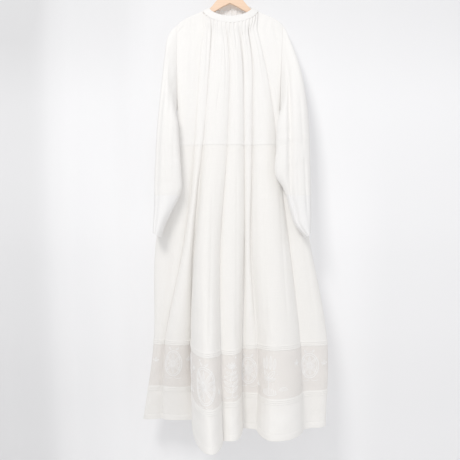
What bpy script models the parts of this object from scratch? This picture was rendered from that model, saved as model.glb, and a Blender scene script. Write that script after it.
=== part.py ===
"""Model a long white smock, gathered on a neckband, that hangs on a wooden hanger.

Run it with blender --background --python part.py, or from Blender's text editor. Sizes are written in
millimetres, and become metres where a mesh is made. The origin is the point inside the top of the hook
that a rail bears on. The front faces -Y, and +X is on the viewer's right. "Forward" is towards -Y.
"""

import math
from collections import namedtuple

import bmesh
import bpy
import numpy as np

MM = 0.001

# Cloth
CLOTH = 1.5
SEAM_GAP = 0.3
SEAM_Z = -619.0
TUCK_COUNT = 3
TUCK_PITCH = 6.0
TUCK_STEP = 0.5
TUCK_RAISE = 1.1
LACE_TOP_Z = -1313.0
LACE_FOOT_Z = -1470.0
HEM_Z = -1603.0

# Neck: the line where the gathered cloth meets the band
NECK_MIDDLE = 2.0
NECK_HALF_WIDTH = 97.0
NECK_FORWARD = 30.0
NECK_BACKWARD = 27.0
NECK_END_Z = -148.0
NECK_SAG = 48.0
NECK_RISE = 12.0
NECK_BLUNTNESS = 3.8
BAND_HEIGHT = 24.0
BAND_WALL = 2.4
BAND_LAP = 0.16
BAND_SEAT_GAP = 0.5
BAND_END_RISE = 2.2
BAND_TAPER = 0.0006
BAND_LEAN = math.radians(64)
GATHER_DEPTH = 2.3
GATHER_FADE = 105.0
NECK_SETTLE = 55.0
COLUMNS_PER_GATHER = 3

# Shoulders: height of the cloth over the hanger's arms, at distances from the middle
SHOULDER_X = (95.0, 125.0, 150.0, 172.0, 186.0)
SHOULDER_Z = (-148.0, -161.0, -171.5, -185.0, -198.0)
ROLL_RADIUS = 8.0
UNDERARM_SHARE = 0.7
ARMHOLE_HALF = 8.5
ARMHOLE_BULGE = 8.0

Armhole = namedtuple("Armhole", "top_x top_z foot_x foot_z")


def armhole(top_x, foot_x):
    """Place an armhole from the shoulder line down to the share of the bodice that it takes."""
    top_z = float(np.interp(abs(top_x), SHOULDER_X, SHOULDER_Z))
    return Armhole(top_x, top_z, foot_x, top_z + UNDERARM_SHARE * (SEAM_Z - top_z))


LEFT_ARMHOLE = armhole(-185.0, -184.0)
RIGHT_ARMHOLE = armhole(183.0, 174.0)

# Fold lines of the body: a row for each ridge or valley, a column for each level
Line = namedtuple("Line", "fold neck yoke underarm seam hip band hem")
LEVEL = Line("height", -215, -318, -492, -619, -983, -1313, -1603)

FRONT_ACROSS = (
    Line("side", -185, -185, -184, -205, -262, -269, -312),
    Line("ridge", -139, -146, -153, -163, -211, -249, -283),
    Line("valley", -94, -104, -115, -124, -163, -229, -245),
    Line("ridge", -80, -87, -99, -107, -144, -180, -190),
    Line("valley", -64, -70, -83, -94, -127, -137, -138),
    Line("ridge", -38, -35, -43, -53, -77, -74, -56),
    Line("valley", -11, -1, -3, -9, -33, -30, -22),
    Line("ridge", 10, 22, 23, 21, 8, 5, 5),
    Line("valley", 34, 44, 49, 49, 50, 44, 48),
    Line("ridge", 48, 61, 63, 63, 62, 69, 70),
    Line("valley", 63, 78, 79, 79, 73, 94, 92),
    Line("ridge", 78, 99, 114, 120, 139, 150, 147),
    Line("valley", 96, 120, 151, 165, 207, 243, 249),
    Line("ridge", 132, 146, 163, 184, 245, 290, 292),
    Line("side", 183, 178, 174, 203, 285, 341, 335),
)
FRONT_FORWARD = (
    Line("side", 0, 0, 0, 0, 0, -12, -70),
    Line("ridge", 13, 18, 20, 22, 28, 8, -58),
    Line("valley", 12, 12, 13, 12, 16, -2, -70),
    Line("ridge", 18, 21, 23, 27, 42, 26, -50),
    Line("valley", 13, 14, 17, 18, 18, -8, -62),
    Line("ridge", 24, 27, 32, 40, 88, 182, 252),
    Line("valley", 17, 17, 19, 22, 46, 100, 140),
    Line("ridge", 25, 27, 32, 38, 66, 104, 156),
    Line("valley", 14, 11, 11, 10, 16, 34, 40),
    Line("ridge", 23, 22, 24, 26, 36, 46, 46),
    Line("valley", 14, 13, 13, 13, 24, 44, 66),
    Line("ridge", 19, 25, 31, 38, 72, 104, 157),
    Line("valley", 12, 14, 14, 17, 24, 34, 58),
    Line("ridge", 13, 18, 19, 21, 34, 32, 30),
    Line("side", 0, 0, 0, 0, 0, 0, -2),
)
BACK_ACROSS = (
    Line("side", 183, 178, 174, 203, 285, 341, 335),
    Line("ridge", 140, 143, 146, 168, 236, 286, 290),
    Line("valley", 99, 107, 113, 128, 182, 226, 238),
    Line("ridge", 76, 83, 91, 102, 138, 170, 176),
    Line("valley", 52, 57, 65, 75, 98, 112, 104),
    Line("ridge", 28, 33, 37, 42, 52, 62, 56),
    Line("valley", 2, 2, 2, 2, 6, 14, 16),
    Line("ridge", -24, -29, -32, -37, -40, -44, -50),
    Line("valley", -48, -55, -62, -72, -92, -106, -118),
    Line("ridge", -72, -79, -85, -96, -120, -136, -150),
    Line("valley", -95, -103, -109, -122, -150, -164, -184),
    Line("ridge", -140, -143, -148, -166, -210, -222, -252),
    Line("side", -185, -185, -184, -205, -262, -269, -312),
)
BACK_FORWARD = (
    Line("side", 0, 0, 0, 0, 0, 0, -2),
    Line("ridge", -13, -22, -27, -30, -50, -76, -112),
    Line("valley", -12, -15, -17, -20, -36, -56, -84),
    Line("ridge", -20, -25, -31, -38, -70, -124, -184),
    Line("valley", -13, -16, -18, -22, -40, -66, -100),
    Line("ridge", -23, -27, -29, -34, -58, -98, -150),
    Line("valley", -14, -17, -19, -23, -40, -72, -112),
    Line("ridge", -24, -28, -33, -40, -74, -130, -200),
    Line("valley", -13, -16, -19, -24, -46, -84, -136),
    Line("ridge", -20, -25, -29, -34, -58, -104, -164),
    Line("valley", -12, -15, -17, -20, -40, -78, -134),
    Line("ridge", -13, -22, -26, -29, -52, -86, -146),
    Line("side", 0, 0, 0, 0, 0, -12, -70),
)

# How far the cloth drops below the named height at the lace and at the hem, a column for each front fold
FRONT_DROP_AT_LACE = (0, 0, 0, 0, 0, 15, 16, 20, 10, 9, 7, 5, 2, 1, 0)
FRONT_DROP_AT_HEM = (-10, -10, -10, -10, -9, 11, 3, 0, -9, -9, -9, 0, -5, -6, -9)
BACK_DROP_AT_HEM = (-9, -6, -7, -3, -6, -2, -5, -2, -6, -3, -7, -7, -10)

Body = namedtuple("Body", "across forward lace_drop hem_drop facing")
FRONT = Body(FRONT_ACROSS, FRONT_FORWARD, FRONT_DROP_AT_LACE, FRONT_DROP_AT_HEM, 1)
BACK = Body(BACK_ACROSS, BACK_FORWARD, (0,) * len(BACK_ACROSS), BACK_DROP_AT_HEM, -1)

# Columns of cloth in each stretch between two fold lines
FRONT_NECK_COLUMNS = (3, 3, 5, 4, 6, 6, 5, 4, 5, 4, 5, 4, 3, 3)
FRONT_SKIRT_COLUMNS = (3, 3, 3, 4, 5, 5, 4, 3, 2, 2, 4, 4, 3, 2)
BACK_NECK_COLUMNS = (3, 3, 5, 4, 5, 4, 5, 4, 5, 4, 3, 3)
BACK_SKIRT_COLUMNS = (3, 3, 3, 3, 3, 3, 3, 3, 3, 3, 3, 3)
BODICE_ROWS = (0.0, 0.003, 0.01, 0.026, 0.08, 0.2, 0.42, UNDERARM_SHARE, 0.86, 1.0)
SKIRT_ROWS = (-720.0, -850.0, -983.0, -1110.0, -1220.0)

# Rings of a sleeve, from the armhole to the cuff; "left" and "right" are its edges as seen from the front.
# The groove is the fold down its front: how deep, and where between the left edge, 0, and the right, 1.
Ring = namedtuple("Ring", "left_x left_z left_out right_x right_z right_out front back groove groove_at")
LEFT_RINGS = (
    Ring(-200, -212, 2, -186, -495, 4, 25, -16, 0, 0.30),
    Ring(-216, -240, 6, -187, -500, 14, 36, -12, 1, 0.26),
    Ring(-226, -300, 14, -186, -509, 28, 50, -3, 3, 0.22),
    Ring(-233, -370, 24, -183, -524, 42, 66, 8, 5, 0.20),
    Ring(-240, -450, 38, -179, -545, 55, 82, 20, 7, 0.17),
    Ring(-247, -540, 50, -176, -577, 60, 92, 28, 8, 0.15),
    Ring(-253, -640, 58, -171, -650, 62, 96, 30, 8, 0.13),
    Ring(-256, -732, 60, -165, -732, 62, 97, 30, 8, 0.12),
    Ring(-257, -770, 61, -164, -770, 62, 98, 30, 8, 0.12),
    Ring(-257, -797, 62, -172, -797, 62, 99, 30, 7, 0.14),
    Ring(-258, -850, 65, -198, -850, 65, 108, 30, 6, 0.20),
    Ring(-260, -895, 70, -220, -898, 70, 116, 30, 5, 0.26),
    Ring(-260, -920, 72, -233, -938, 74, 122, 30, 3, 0.34),
)
RIGHT_RINGS = (
    Ring(176, -495, 5, 194, -211, 2, 25, -16, 0, 0.70),
    Ring(176, -501, 17, 206, -240, 6, 38, -12, 3, 0.62),
    Ring(172, -510, 32, 225, -292, 16, 54, -3, 9, 0.55),
    Ring(167, -524, 46, 241, -345, 26, 70, 8, 14, 0.47),
    Ring(161, -546, 58, 257, -425, 40, 86, 22, 16, 0.42),
    Ring(158, -577, 64, 268, -525, 52, 98, 32, 16, 0.40),
    Ring(157, -645, 66, 272, -640, 60, 102, 35, 16, 0.39),
    Ring(157, -735, 66, 274, -735, 62, 102, 35, 16, 0.39),
    Ring(178, -768, 66, 275, -768, 62, 103, 34, 14, 0.27),
    Ring(190, -797, 65, 276, -797, 62, 104, 34, 12, 0.20),
    Ring(204, -850, 66, 276, -850, 65, 110, 34, 10, 0.24),
    Ring(220, -897, 70, 275, -895, 70, 118, 34, 7, 0.22),
    Ring(253, -938, 74, 272, -923, 72, 122, 34, 3, 0.30),
)
CUFF_RING = 9
SLEEVE_FRONT_COLUMNS = 12
SLEEVE_BACK_COLUMNS = 10
GROOVE_COLUMN = 5
GROOVE_WIDTH = 0.09

# Hanger: the upper and lower edge of one arm, from the middle outwards
ARM_TOP = ((0, -80), (16, -81.5), (30, -90), (42, -106), (55, -122), (70, -139.5), (95, -156.5),
           (125, -166.5), (150, -175.2), (170, -188), (180, -200))
ARM_FOOT = ((186, -212), (187, -224), (181, -234), (150, -215), (110, -184), (75, -162), (52, -149),
            (25, -133))
ARM_APEX_Z = -121.0
WOOD_THICKNESS = 12.0
WOOD_ROUNDING = 4.6
WIRE_RADIUS = 1.9
HOOK_RADIUS = 20.0
HOLE_CLEARANCE = 0.3
HOLE_DEPTH = 26.0
HOOK_TIP_TURN = 212.0
HOOK_START_TURN = -62.0
HOOK_STEPS = 18

# Button
BUTTON_RADIUS = 5.5
BUTTON_THICKNESS = 2.6
BUTTON_SIDES = 20


def fresh_collections():
    """Empty the file and make a collection for the parts and one for the cutters."""
    for item in list(bpy.data.objects):
        bpy.data.objects.remove(item, do_unlink=True)
    made = []
    for name in ("smock_on_a_hanger", "cutters"):
        group = bpy.data.collections.new(name)
        bpy.context.scene.collection.children.link(group)
        made.append(group)
    return made


def surface(name, colour, roughness, metallic=0.0):
    """Make a plain material."""
    material = bpy.data.materials.new(name)
    material.use_nodes = True
    shader = material.node_tree.nodes["Principled BSDF"]
    shader.inputs["Base Color"].default_value = (*colour, 1.0)
    shader.inputs["Roughness"].default_value = roughness
    shader.inputs["Metallic"].default_value = metallic
    material.diffuse_color = (*colour, 1.0)
    return material


def smooth(stations, values, at):
    """Read a smooth curve through values given at falling stations."""
    stations = np.asarray(stations, float)
    values = np.asarray(values, float)
    slopes = np.gradient(values, stations)
    at = float(np.clip(at, stations[-1], stations[0]))
    i = int(np.clip(np.searchsorted(-stations, -at) - 1, 0, len(stations) - 2))
    span = stations[i + 1] - stations[i]
    t = (at - stations[i]) / span
    ease = t * t * (3 - 2 * t)
    start_pull = t * (1 - t) ** 2
    end_pull = t * t * (1 - t)
    return (values[i] * (1 - ease) + values[i + 1] * ease
            + span * (slopes[i] * start_pull - slopes[i + 1] * end_pull))


def ease_in(t):
    """Run from 0 to 1 with a level start and end."""
    t = min(max(t, 0.0), 1.0)
    return t * t * (3 - 2 * t)


def roll_over(below, radius):
    """Give the share of its full depth that cloth has, some way below an edge that it rolls over."""
    left = 1 - min(max(below, 0.0), radius) / radius
    return math.sqrt(1 - left * left)


def armhole_edge(hole, height):
    """Give the place across and the half depth of an armhole at one height."""
    share = (hole.top_z - height) / (hole.top_z - hole.foot_z)
    across = hole.top_x + (hole.foot_x - hole.top_x) * share
    if share >= 1:
        return hole.foot_x, 0.0
    share = max(share, 0.0)
    half = ARMHOLE_HALF + ARMHOLE_BULGE * math.sin(math.pi * share)
    return across, half * math.sqrt(1 - share * share)


def fold_point(body, place, height):
    """Find the cloth at a column, which is a stretch between folds and a share of it, and a height."""
    stretch, share = place
    kinds = (body.across[stretch].fold, body.across[stretch + 1].fold)
    heights = LEVEL[1:]
    ends = []
    for line in (stretch, stretch + 1):
        across = smooth(heights, body.across[line][1:], height)
        forward = smooth(heights, body.forward[line][1:], height)
        hole = LEFT_ARMHOLE if across < 0 else RIGHT_ARMHOLE
        if body.across[line].fold == "side" and height > hole.foot_z:
            across, half = armhole_edge(hole, height)
            forward = body.facing * half
        drop = smooth(heights[-3:], (0, body.lace_drop[line], body.hem_drop[line]), height)
        ends.append((across, forward, drop))
    rising = kinds[0] != "ridge"
    low, high = (ends[0], ends[1]) if rising else (ends[1], ends[0])
    climb = share if rising else 1 - share
    low_kind = kinds[0] if rising else kinds[1]
    roundness = 1.0 if low_kind == "side" else 0.5
    swing = math.sin(climb * math.pi / 2)
    run = (1 - roundness) * climb + roundness * (1 - math.cos(climb * math.pi / 2))
    rise = swing if low_kind == "side" else swing ** 0.85
    across = low[0] + (high[0] - low[0]) * run
    forward = low[1] + (high[1] - low[1]) * rise
    drop = low[2] + (high[2] - low[2]) * rise
    return across, -forward, height - drop


def neck_point(share, facing):
    """Follow the lower edge of the band from its left end, -1, to its right end, 1."""
    swing = 0.65 * share + 0.35 * math.sin(share * math.pi / 2)
    across = NECK_MIDDLE + NECK_HALF_WIDTH * swing
    level = min(abs(swing), 1.0)
    depth = (1 - level ** NECK_BLUNTNESS) ** (1 / NECK_BLUNTNESS)
    if facing > 0:
        return across, -NECK_FORWARD * depth, NECK_END_Z - NECK_SAG * (1 - level * level) ** 0.55
    return across, NECK_BACKWARD * depth, NECK_END_Z + NECK_RISE * (1 - level * level) ** 1.5


def places_along(columns):
    """List the columns of a body piece, from its first fold line to its last."""
    places = []
    for stretch, count in enumerate(columns):
        places += [(stretch, step / count) for step in range(count)]
    places.append((len(columns) - 1, 1.0))
    return places


def bodice_top(body, index, total, side_columns):
    """Give the top of one bodice column: on the shoulder line, or on the band's lower edge."""
    first_x, last_x = body.across[0].neck, body.across[-1].neck
    neck_columns = total - 2 * side_columns
    order = 1 if first_x < last_x else -1
    along = index - side_columns
    if 0 <= along <= neck_columns:
        share = order * (2 * along / neck_columns - 1)
        return neck_point(share, body.facing), along / COLUMNS_PER_GATHER
    before = along < 0
    outer_x = first_x if before else last_x
    inner_x = neck_point(-order if before else order, body.facing)[0]
    part = index / side_columns if before else (total - index) / side_columns
    across = outer_x + (inner_x - outer_x) * part
    return (across, 0.0, float(np.interp(abs(across), SHOULDER_X, SHOULDER_Z))), None


def bodice_grid(body, columns):
    """Lay out the bodice's outer points without gathers, and the size of the gathers at each point."""
    places = places_along(columns)
    side_columns = columns[0] + columns[1]
    total = len(places) - 1
    grid = np.zeros((len(BODICE_ROWS), total + 1, 3))
    gathers = np.zeros((len(BODICE_ROWS), total + 1))
    for index, place in enumerate(places):
        top, phase = bodice_top(body, index, total, side_columns)
        depth_share = abs(top[1]) / NECK_FORWARD
        for row, share in enumerate(BODICE_ROWS):
            height = top[2] + (SEAM_Z - top[2]) * share
            below = top[2] - height
            across, back, height = fold_point(body, place, height)
            rolled = roll_over(below, ROLL_RADIUS)
            settled = rolled + (ease_in(below / NECK_SETTLE) - rolled) * depth_share
            back = top[1] + (back - top[1]) * settled
            if index not in (0, total):
                across = top[0] + (across - top[0]) * ease_in(below / NECK_SETTLE)
            if phase is not None:
                size = GATHER_DEPTH * math.exp(-below / GATHER_FADE) * min(1.0, 1.6 * depth_share)
                gathers[row, index] = -size * math.cos(2 * math.pi * phase)
            grid[row, index] = (across, back, height)
    grid[-1, :, 2] += SEAM_GAP / 2
    return grid, gathers


def unit(vectors):
    """Scale vectors to a length of 1."""
    return vectors / np.maximum(np.linalg.norm(vectors, axis=-1, keepdims=True), 1e-9)


def outward(grid, closed=False):
    """Give each point's outward direction, lengthened at creases so that a wall keeps its thickness."""
    around = np.roll(grid, -1, 1) - grid
    if not closed:
        around = around[:, :-1]
    around = unit(around)
    down = unit(grid[1:] - grid[:-1])
    if closed:
        mean_around = (around + np.roll(around, 1, 1)) / 2
    else:
        mean_around = np.concatenate(
            [around[:, :1], (around[:, 1:] + around[:, :-1]) / 2, around[:, -1:]], axis=1)
    mean_down = np.concatenate([down[:1], (down[1:] + down[:-1]) / 2, down[-1:]], axis=0)
    stretch = np.linalg.norm(mean_around, axis=-1, keepdims=True)
    return unit(np.cross(mean_down, mean_around)) / np.maximum(stretch, 0.55)


def wall(name, outer, inner, kept_rows, material, closed=False):
    """Build a cloth wall from outer rows and the inner rows that lie behind the kept outer ones."""
    rows, columns = outer.shape[:2]
    inner_rows = len(kept_rows)
    points = np.concatenate([outer.reshape(-1, 3), inner.reshape(-1, 3)])
    steps = range(columns if closed else columns - 1)

    def out(row, column):
        return row * columns + column % columns

    def into(row, column):
        return rows * columns + row * columns + column % columns

    faces = []
    for c in steps:
        for r in range(rows - 1):
            faces.append((out(r, c), out(r + 1, c), out(r + 1, c + 1), out(r, c + 1)))
        for r in range(inner_rows - 1):
            faces.append((into(r, c), into(r, c + 1), into(r + 1, c + 1), into(r + 1, c)))
        faces.append((out(0, c), out(0, c + 1), into(0, c + 1), into(0, c)))
        faces.append((out(rows - 1, c + 1), out(rows - 1, c), into(inner_rows - 1, c),
                      into(inner_rows - 1, c + 1)))
    if not closed:
        last = columns - 1
        for r in range(inner_rows - 1):
            chain = range(kept_rows[r], kept_rows[r + 1] + 1)
            faces.append(tuple(out(k, last) for k in chain) + (into(r + 1, last), into(r, last)))
            faces.append(tuple(out(k, 0) for k in reversed(chain)) + (into(r, 0), into(r + 1, 0)))
    return add_mesh(name, points, faces, material)


def add_mesh(name, points, faces, material):
    """Make an object from points in millimetres."""
    mesh = bpy.data.meshes.new(name)
    mesh.from_pydata([tuple(point) for point in np.asarray(points) * MM], [], faces)
    mesh.materials.append(material)
    mesh.shade_smooth()
    mesh.set_sharp_from_angle(angle=math.radians(40))
    item = bpy.data.objects.new(name, mesh)
    PARTS.objects.link(item)
    return item


def seam_edges(body, grid, directions, holes_above=False):
    """Square off the side edges of a body piece, half a seam gap from the other side's."""
    forward = -body.facing
    for column in (0, -1):
        outside = -1.0 if (column == 0) == (body.facing > 0) else 1.0
        directions[:, column] = (outside, 0, 0)
        if holes_above:
            open_rows = [row for row, share in enumerate(BODICE_ROWS) if share < UNDERARM_SHARE]
            directions[open_rows, column] = (0, forward, 0)
        grid[:, column, 1] += forward * SEAM_GAP / 2


def bodice(body, columns, names, material):
    """Build the bodice's front, or the two halves of its back."""
    base, gathers = bodice_grid(body, columns)
    flat = outward(base)
    flat[..., 2] = 0
    outer = base + unit(flat) * gathers[..., None]
    directions = outward(outer)
    side_columns = columns[0] + columns[1]
    total = outer.shape[1] - 1
    on_shoulder = [c for c in range(total + 1) if c <= side_columns or c >= total - side_columns]
    seam_edges(body, outer, directions, holes_above=True)
    outer[0, on_shoulder[1:-1], 1] -= body.facing * SEAM_GAP / 2
    directions[-1, :, 2] = 0
    directions[0] = unit(flat[0])
    directions[0, on_shoulder] = (0, 0, 1)
    kept = list(range(outer.shape[0]))
    if len(names) == 1:
        wall(names[0], outer, outer - CLOTH * directions, kept, material)
        return
    middle = total // 2
    for name, first, last, edge, away in ((names[0], 0, middle, -1, 1), (names[1], middle, total, 0, -1)):
        part = outer[:, first:last + 1].copy()
        lean = directions[:, first:last + 1].copy()
        lean[:, edge] = (0, -body.facing, 0)
        part[:, edge, 0] += away * SEAM_GAP / 2
        wall(name, part, part - CLOTH * lean, kept, material)


def tuck_rows(start):
    """List the heights of a row of tucks and how far each is raised."""
    rows = []
    for tuck in range(TUCK_COUNT):
        foot = start - (tuck + 1) * TUCK_PITCH
        rows += [(foot + TUCK_STEP, TUCK_RAISE), (foot, 0.0)]
    return rows


def skirt_piece(body, columns, name, top, rows, foot, material, tucks_at=None):
    """Build a level strip of the skirt, with tucks that start at a height if it has them."""
    heights = [(top - SEAM_GAP / 2, 0.0)] + [(row, 0.0) for row in rows]
    kept_heights = [height for height, _ in heights] + [foot + SEAM_GAP / 2]
    if tucks_at is not None:
        if tucks_at < heights[-1][0] and tucks_at > foot + 30:
            heights.append((tucks_at, 0.0))
        heights = sorted(heights + tuck_rows(tucks_at), reverse=True)
    heights = heights + [(foot + SEAM_GAP / 2, 0.0)]
    places = places_along(columns)
    outer = np.array([[fold_point(body, place, height) for place in places] for height, _ in heights])
    directions = outward(outer)
    directions[..., 2] = 0
    seam_edges(body, outer, directions)
    kept = [n for n, (height, _) in enumerate(heights) if height in kept_heights]
    inner = (outer - CLOTH * directions)[kept]
    raised = np.array([raise_by for _, raise_by in heights])
    outer = outer + unit(directions) * raised[:, None, None]
    wall(name, outer, inner, kept, material)


def front_run(step, groove_at):
    """Share out the columns of a sleeve's front, with one of them on the groove."""
    if step <= GROOVE_COLUMN:
        return groove_at * (1 - math.cos(math.pi / 2 * step / GROOVE_COLUMN))
    past = (step - GROOVE_COLUMN) / (SLEEVE_FRONT_COLUMNS - GROOVE_COLUMN)
    return groove_at + (1 - groove_at) * math.sin(math.pi / 2 * past)


def ring_points(ring):
    """Go round one ring of a sleeve: along its front from the left edge to the right, then its back."""
    left = np.array((ring.left_x, -ring.left_out, ring.left_z), float)
    right = np.array((ring.right_x, -ring.right_out, ring.right_z), float)
    middle_out = (ring.left_out + ring.right_out) / 2
    points = []
    for step in range(SLEEVE_FRONT_COLUMNS):
        run = front_run(step, ring.groove_at)
        fullness = (4 * run * (1 - run)) ** 0.375
        dip = ring.groove * math.exp(-((run - ring.groove_at) / GROOVE_WIDTH) ** 2)
        point = left + (right - left) * run
        point[1] -= (ring.front - middle_out) * fullness - dip * fullness
        points.append(point)
    for step in range(SLEEVE_BACK_COLUMNS):
        turn = math.pi * step / SLEEVE_BACK_COLUMNS
        run = (1 - math.cos(turn)) / 2
        point = right + (left - right) * run
        point[1] += (middle_out - ring.back) * math.sin(turn) ** 0.75
        points.append(point)
    return points


def armhole_ring(hole, outside, groove_at):
    """Go round an armhole in the same order as the sleeve's rings."""
    start, end = (hole.top_z, hole.foot_z) if outside < 0 else (hole.foot_z, hole.top_z)
    points = []
    for steps, facing in ((SLEEVE_FRONT_COLUMNS, -1), (SLEEVE_BACK_COLUMNS, 1)):
        first, last = (start, end) if facing < 0 else (end, start)
        for step in range(steps):
            run = (1 - math.cos(math.pi * step / steps)) / 2
            if facing < 0:
                run = front_run(step, groove_at)
            height = first + (last - first) * run
            across, half = armhole_edge(hole, height)
            half *= roll_over(hole.top_z - height, ROLL_RADIUS)
            points.append((across + outside * SEAM_GAP, facing * half, height))
    return points


def tube(name, rings, level_ends, material):
    """Build a sleeve or cuff; a level end has its wall's cut face flat, and an upright one doesn't."""
    outer = np.array(rings, float)
    directions = outward(outer, closed=True)
    for row, axis in zip((0, -1), level_ends):
        directions[row, :, axis] = 0
        directions[row] = unit(directions[row])
    wall(name, outer, outer - CLOTH * directions, list(range(len(rings))), material, closed=True)


def sleeve(side, hole, rings, outside, cloth, net):
    """Build a sleeve and the cuff panel below it."""
    loops = [armhole_ring(hole, outside, rings[0].groove_at)] + [ring_points(ring) for ring in rings]
    upper = np.array(loops[:CUFF_RING + 2], float)
    lower = np.array(loops[CUFF_RING + 1:], float)
    upper[-1, :, 2] += SEAM_GAP / 2
    lower[0, :, 2] -= SEAM_GAP / 2
    tube(f"sleeve_{side}", upper, (0, 2), cloth)
    tube(f"cuff_{side}", lower, (2, 2), net)


def band_point(share, facing, lift):
    """Give a point of the band at a lift above its lower edge; at its ends it leans in over the hanger."""
    across, back, height = neck_point(share, facing)
    turn = BAND_LEAN * abs(share) ** 3
    inward = -math.copysign(math.sin(turn), share) * lift
    end_rise = BAND_END_RISE * abs(share) ** 3
    return across + inward, back * (1 - BAND_TAPER * lift), height + math.cos(turn) * lift + end_rise


def neckband(material):
    """Build the band: from the centre back round the front, and back over its own start."""
    path = [(-n / 12, -1) for n in range(12)]
    path += [(n / 12 - 1, 1) for n in range(25)]
    path += [(1 - n / 12, -1) for n in range(1, 12)]
    path += [(0.03, -1), (-BAND_LAP / 2, -1), (-BAND_LAP, -1)]
    outer = np.array([[band_point(share, facing, lift) for share, facing in path]
                      for lift in (BAND_HEIGHT, BAND_HEIGHT / 2, BAND_SEAT_GAP)])
    directions = outward(outer)
    lap = np.zeros(len(path))
    lap[-3:] = BAND_WALL + SEAM_GAP
    directions[:, -3:] = (0, 1, 0)
    directions[:, 0] = (0, 1, 0)
    outer = outer + unit(directions) * (0.5 + lap)[None, :, None]
    wall("neckband", outer, outer - BAND_WALL * directions, [0, 1, 2], material)


def button(material):
    """Build the button that closes the band at the back."""
    across, back, height = neck_point(-BAND_LAP / 2, -1)
    mesh = bpy.data.meshes.new("button")
    shape = bmesh.new()
    bmesh.ops.create_cone(shape, cap_ends=True, segments=BUTTON_SIDES, radius1=BUTTON_RADIUS * MM,
                          radius2=BUTTON_RADIUS * MM, depth=BUTTON_THICKNESS * MM)
    shape.to_mesh(mesh)
    shape.free()
    mesh.materials.append(material)
    item = bpy.data.objects.new("button", mesh)
    seat = back + 0.5 + BAND_WALL + SEAM_GAP
    item.location = (across * MM, (seat + SEAM_GAP + BUTTON_THICKNESS / 2) * MM,
                     (height + BAND_HEIGHT / 2) * MM)
    item.rotation_euler = (math.radians(90), 0, 0)
    PARTS.objects.link(item)
    rim = item.modifiers.new("rim", "BEVEL")
    rim.width = 0.7 * MM
    rim.segments = 2
    rim.limit_method = "ANGLE"


def curve_object(name, kind, points, cyclic):
    """Make a poly curve from points in millimetres."""
    data = bpy.data.curves.new(name, "CURVE")
    data.dimensions = kind
    spline = data.splines.new("POLY")
    spline.points.add(len(points) - 1)
    for knot, point in zip(spline.points, points):
        knot.co = (point[0] * MM, point[1] * MM, point[2] * MM, 1.0)
    spline.use_cyclic_u = cyclic
    item = bpy.data.objects.new(name, data)
    PARTS.objects.link(item)
    return item


def as_mesh(item):
    """Turn a curve object into a welded mesh object with the same name and place."""
    bpy.context.view_layer.update()
    graph = bpy.context.evaluated_depsgraph_get()
    mesh = bpy.data.meshes.new_from_object(item.evaluated_get(graph))
    shape = bmesh.new()
    shape.from_mesh(mesh)
    bmesh.ops.remove_doubles(shape, verts=shape.verts, dist=0.00001)
    shape.to_mesh(mesh)
    shape.free()
    made = bpy.data.objects.new(item.name, mesh)
    made.matrix_world = item.matrix_world
    name = item.name
    bpy.data.objects.remove(item, do_unlink=True)
    made.name = name
    PARTS.objects.link(made)
    return made


def hanger_wood(material):
    """Cut the two arms from one board, with a blind hole for the hook."""
    right = list(ARM_TOP) + list(ARM_FOOT)
    left = [(-x, z) for x, z in reversed(right) if x > 0]
    outline = right + [(0, ARM_APEX_Z)] + left
    board = curve_object("hanger_wood", "2D", [(x, z, 0) for x, z in outline], True)
    board.data.fill_mode = "BOTH"
    board.data.extrude = WOOD_THICKNESS / 2 * MM
    board.rotation_euler = (math.radians(90), 0, 0)
    board = as_mesh(board)
    board.data.materials.append(material)
    edge = board.modifiers.new("rounded edges", "BEVEL")
    edge.width = WOOD_ROUNDING * MM
    edge.segments = 2
    edge.limit_method = "ANGLE"
    edge.angle_limit = math.radians(60)
    mesh = bpy.data.meshes.new("hook_hole")
    shape = bmesh.new()
    radius = (WIRE_RADIUS + HOLE_CLEARANCE) * MM
    bmesh.ops.create_cone(shape, cap_ends=True, segments=16, radius1=radius, radius2=radius,
                          depth=2 * HOLE_DEPTH * MM)
    shape.to_mesh(mesh)
    shape.free()
    drill = bpy.data.objects.new("hook_hole", mesh)
    drill.location = (0, 0, ARM_TOP[0][1] * MM)
    drill.hide_render = True
    drill.display_type = "WIRE"
    CUTTERS.objects.link(drill)
    hole = board.modifiers.new("hook hole", "BOOLEAN")
    hole.object = drill
    hole.operation = "DIFFERENCE"


def hanger_hook(material):
    """Bend the hook from one wire, with its shank in the wood."""
    foot = ARM_TOP[0][1] - HOLE_DEPTH + SEAM_GAP
    middle = WIRE_RADIUS - HOOK_RADIUS
    points = [(0, 0, foot), (0, 0, -60), (0.6, 0, -54), (2.6, 0, -48), (5.4, 0, -42.5)]
    for step in range(HOOK_STEPS + 1):
        turn = math.radians(HOOK_START_TURN + (HOOK_TIP_TURN - HOOK_START_TURN) * step / HOOK_STEPS)
        points.append((HOOK_RADIUS * math.cos(turn), 0, middle + HOOK_RADIUS * math.sin(turn)))
    wire = curve_object("hanger_hook", "3D", points, False)
    wire.data.bevel_depth = WIRE_RADIUS * MM
    wire.data.bevel_resolution = 2
    wire.data.use_fill_caps = True
    wire = as_mesh(wire)
    wire.data.materials.append(material)
    wire.data.shade_smooth()


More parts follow.
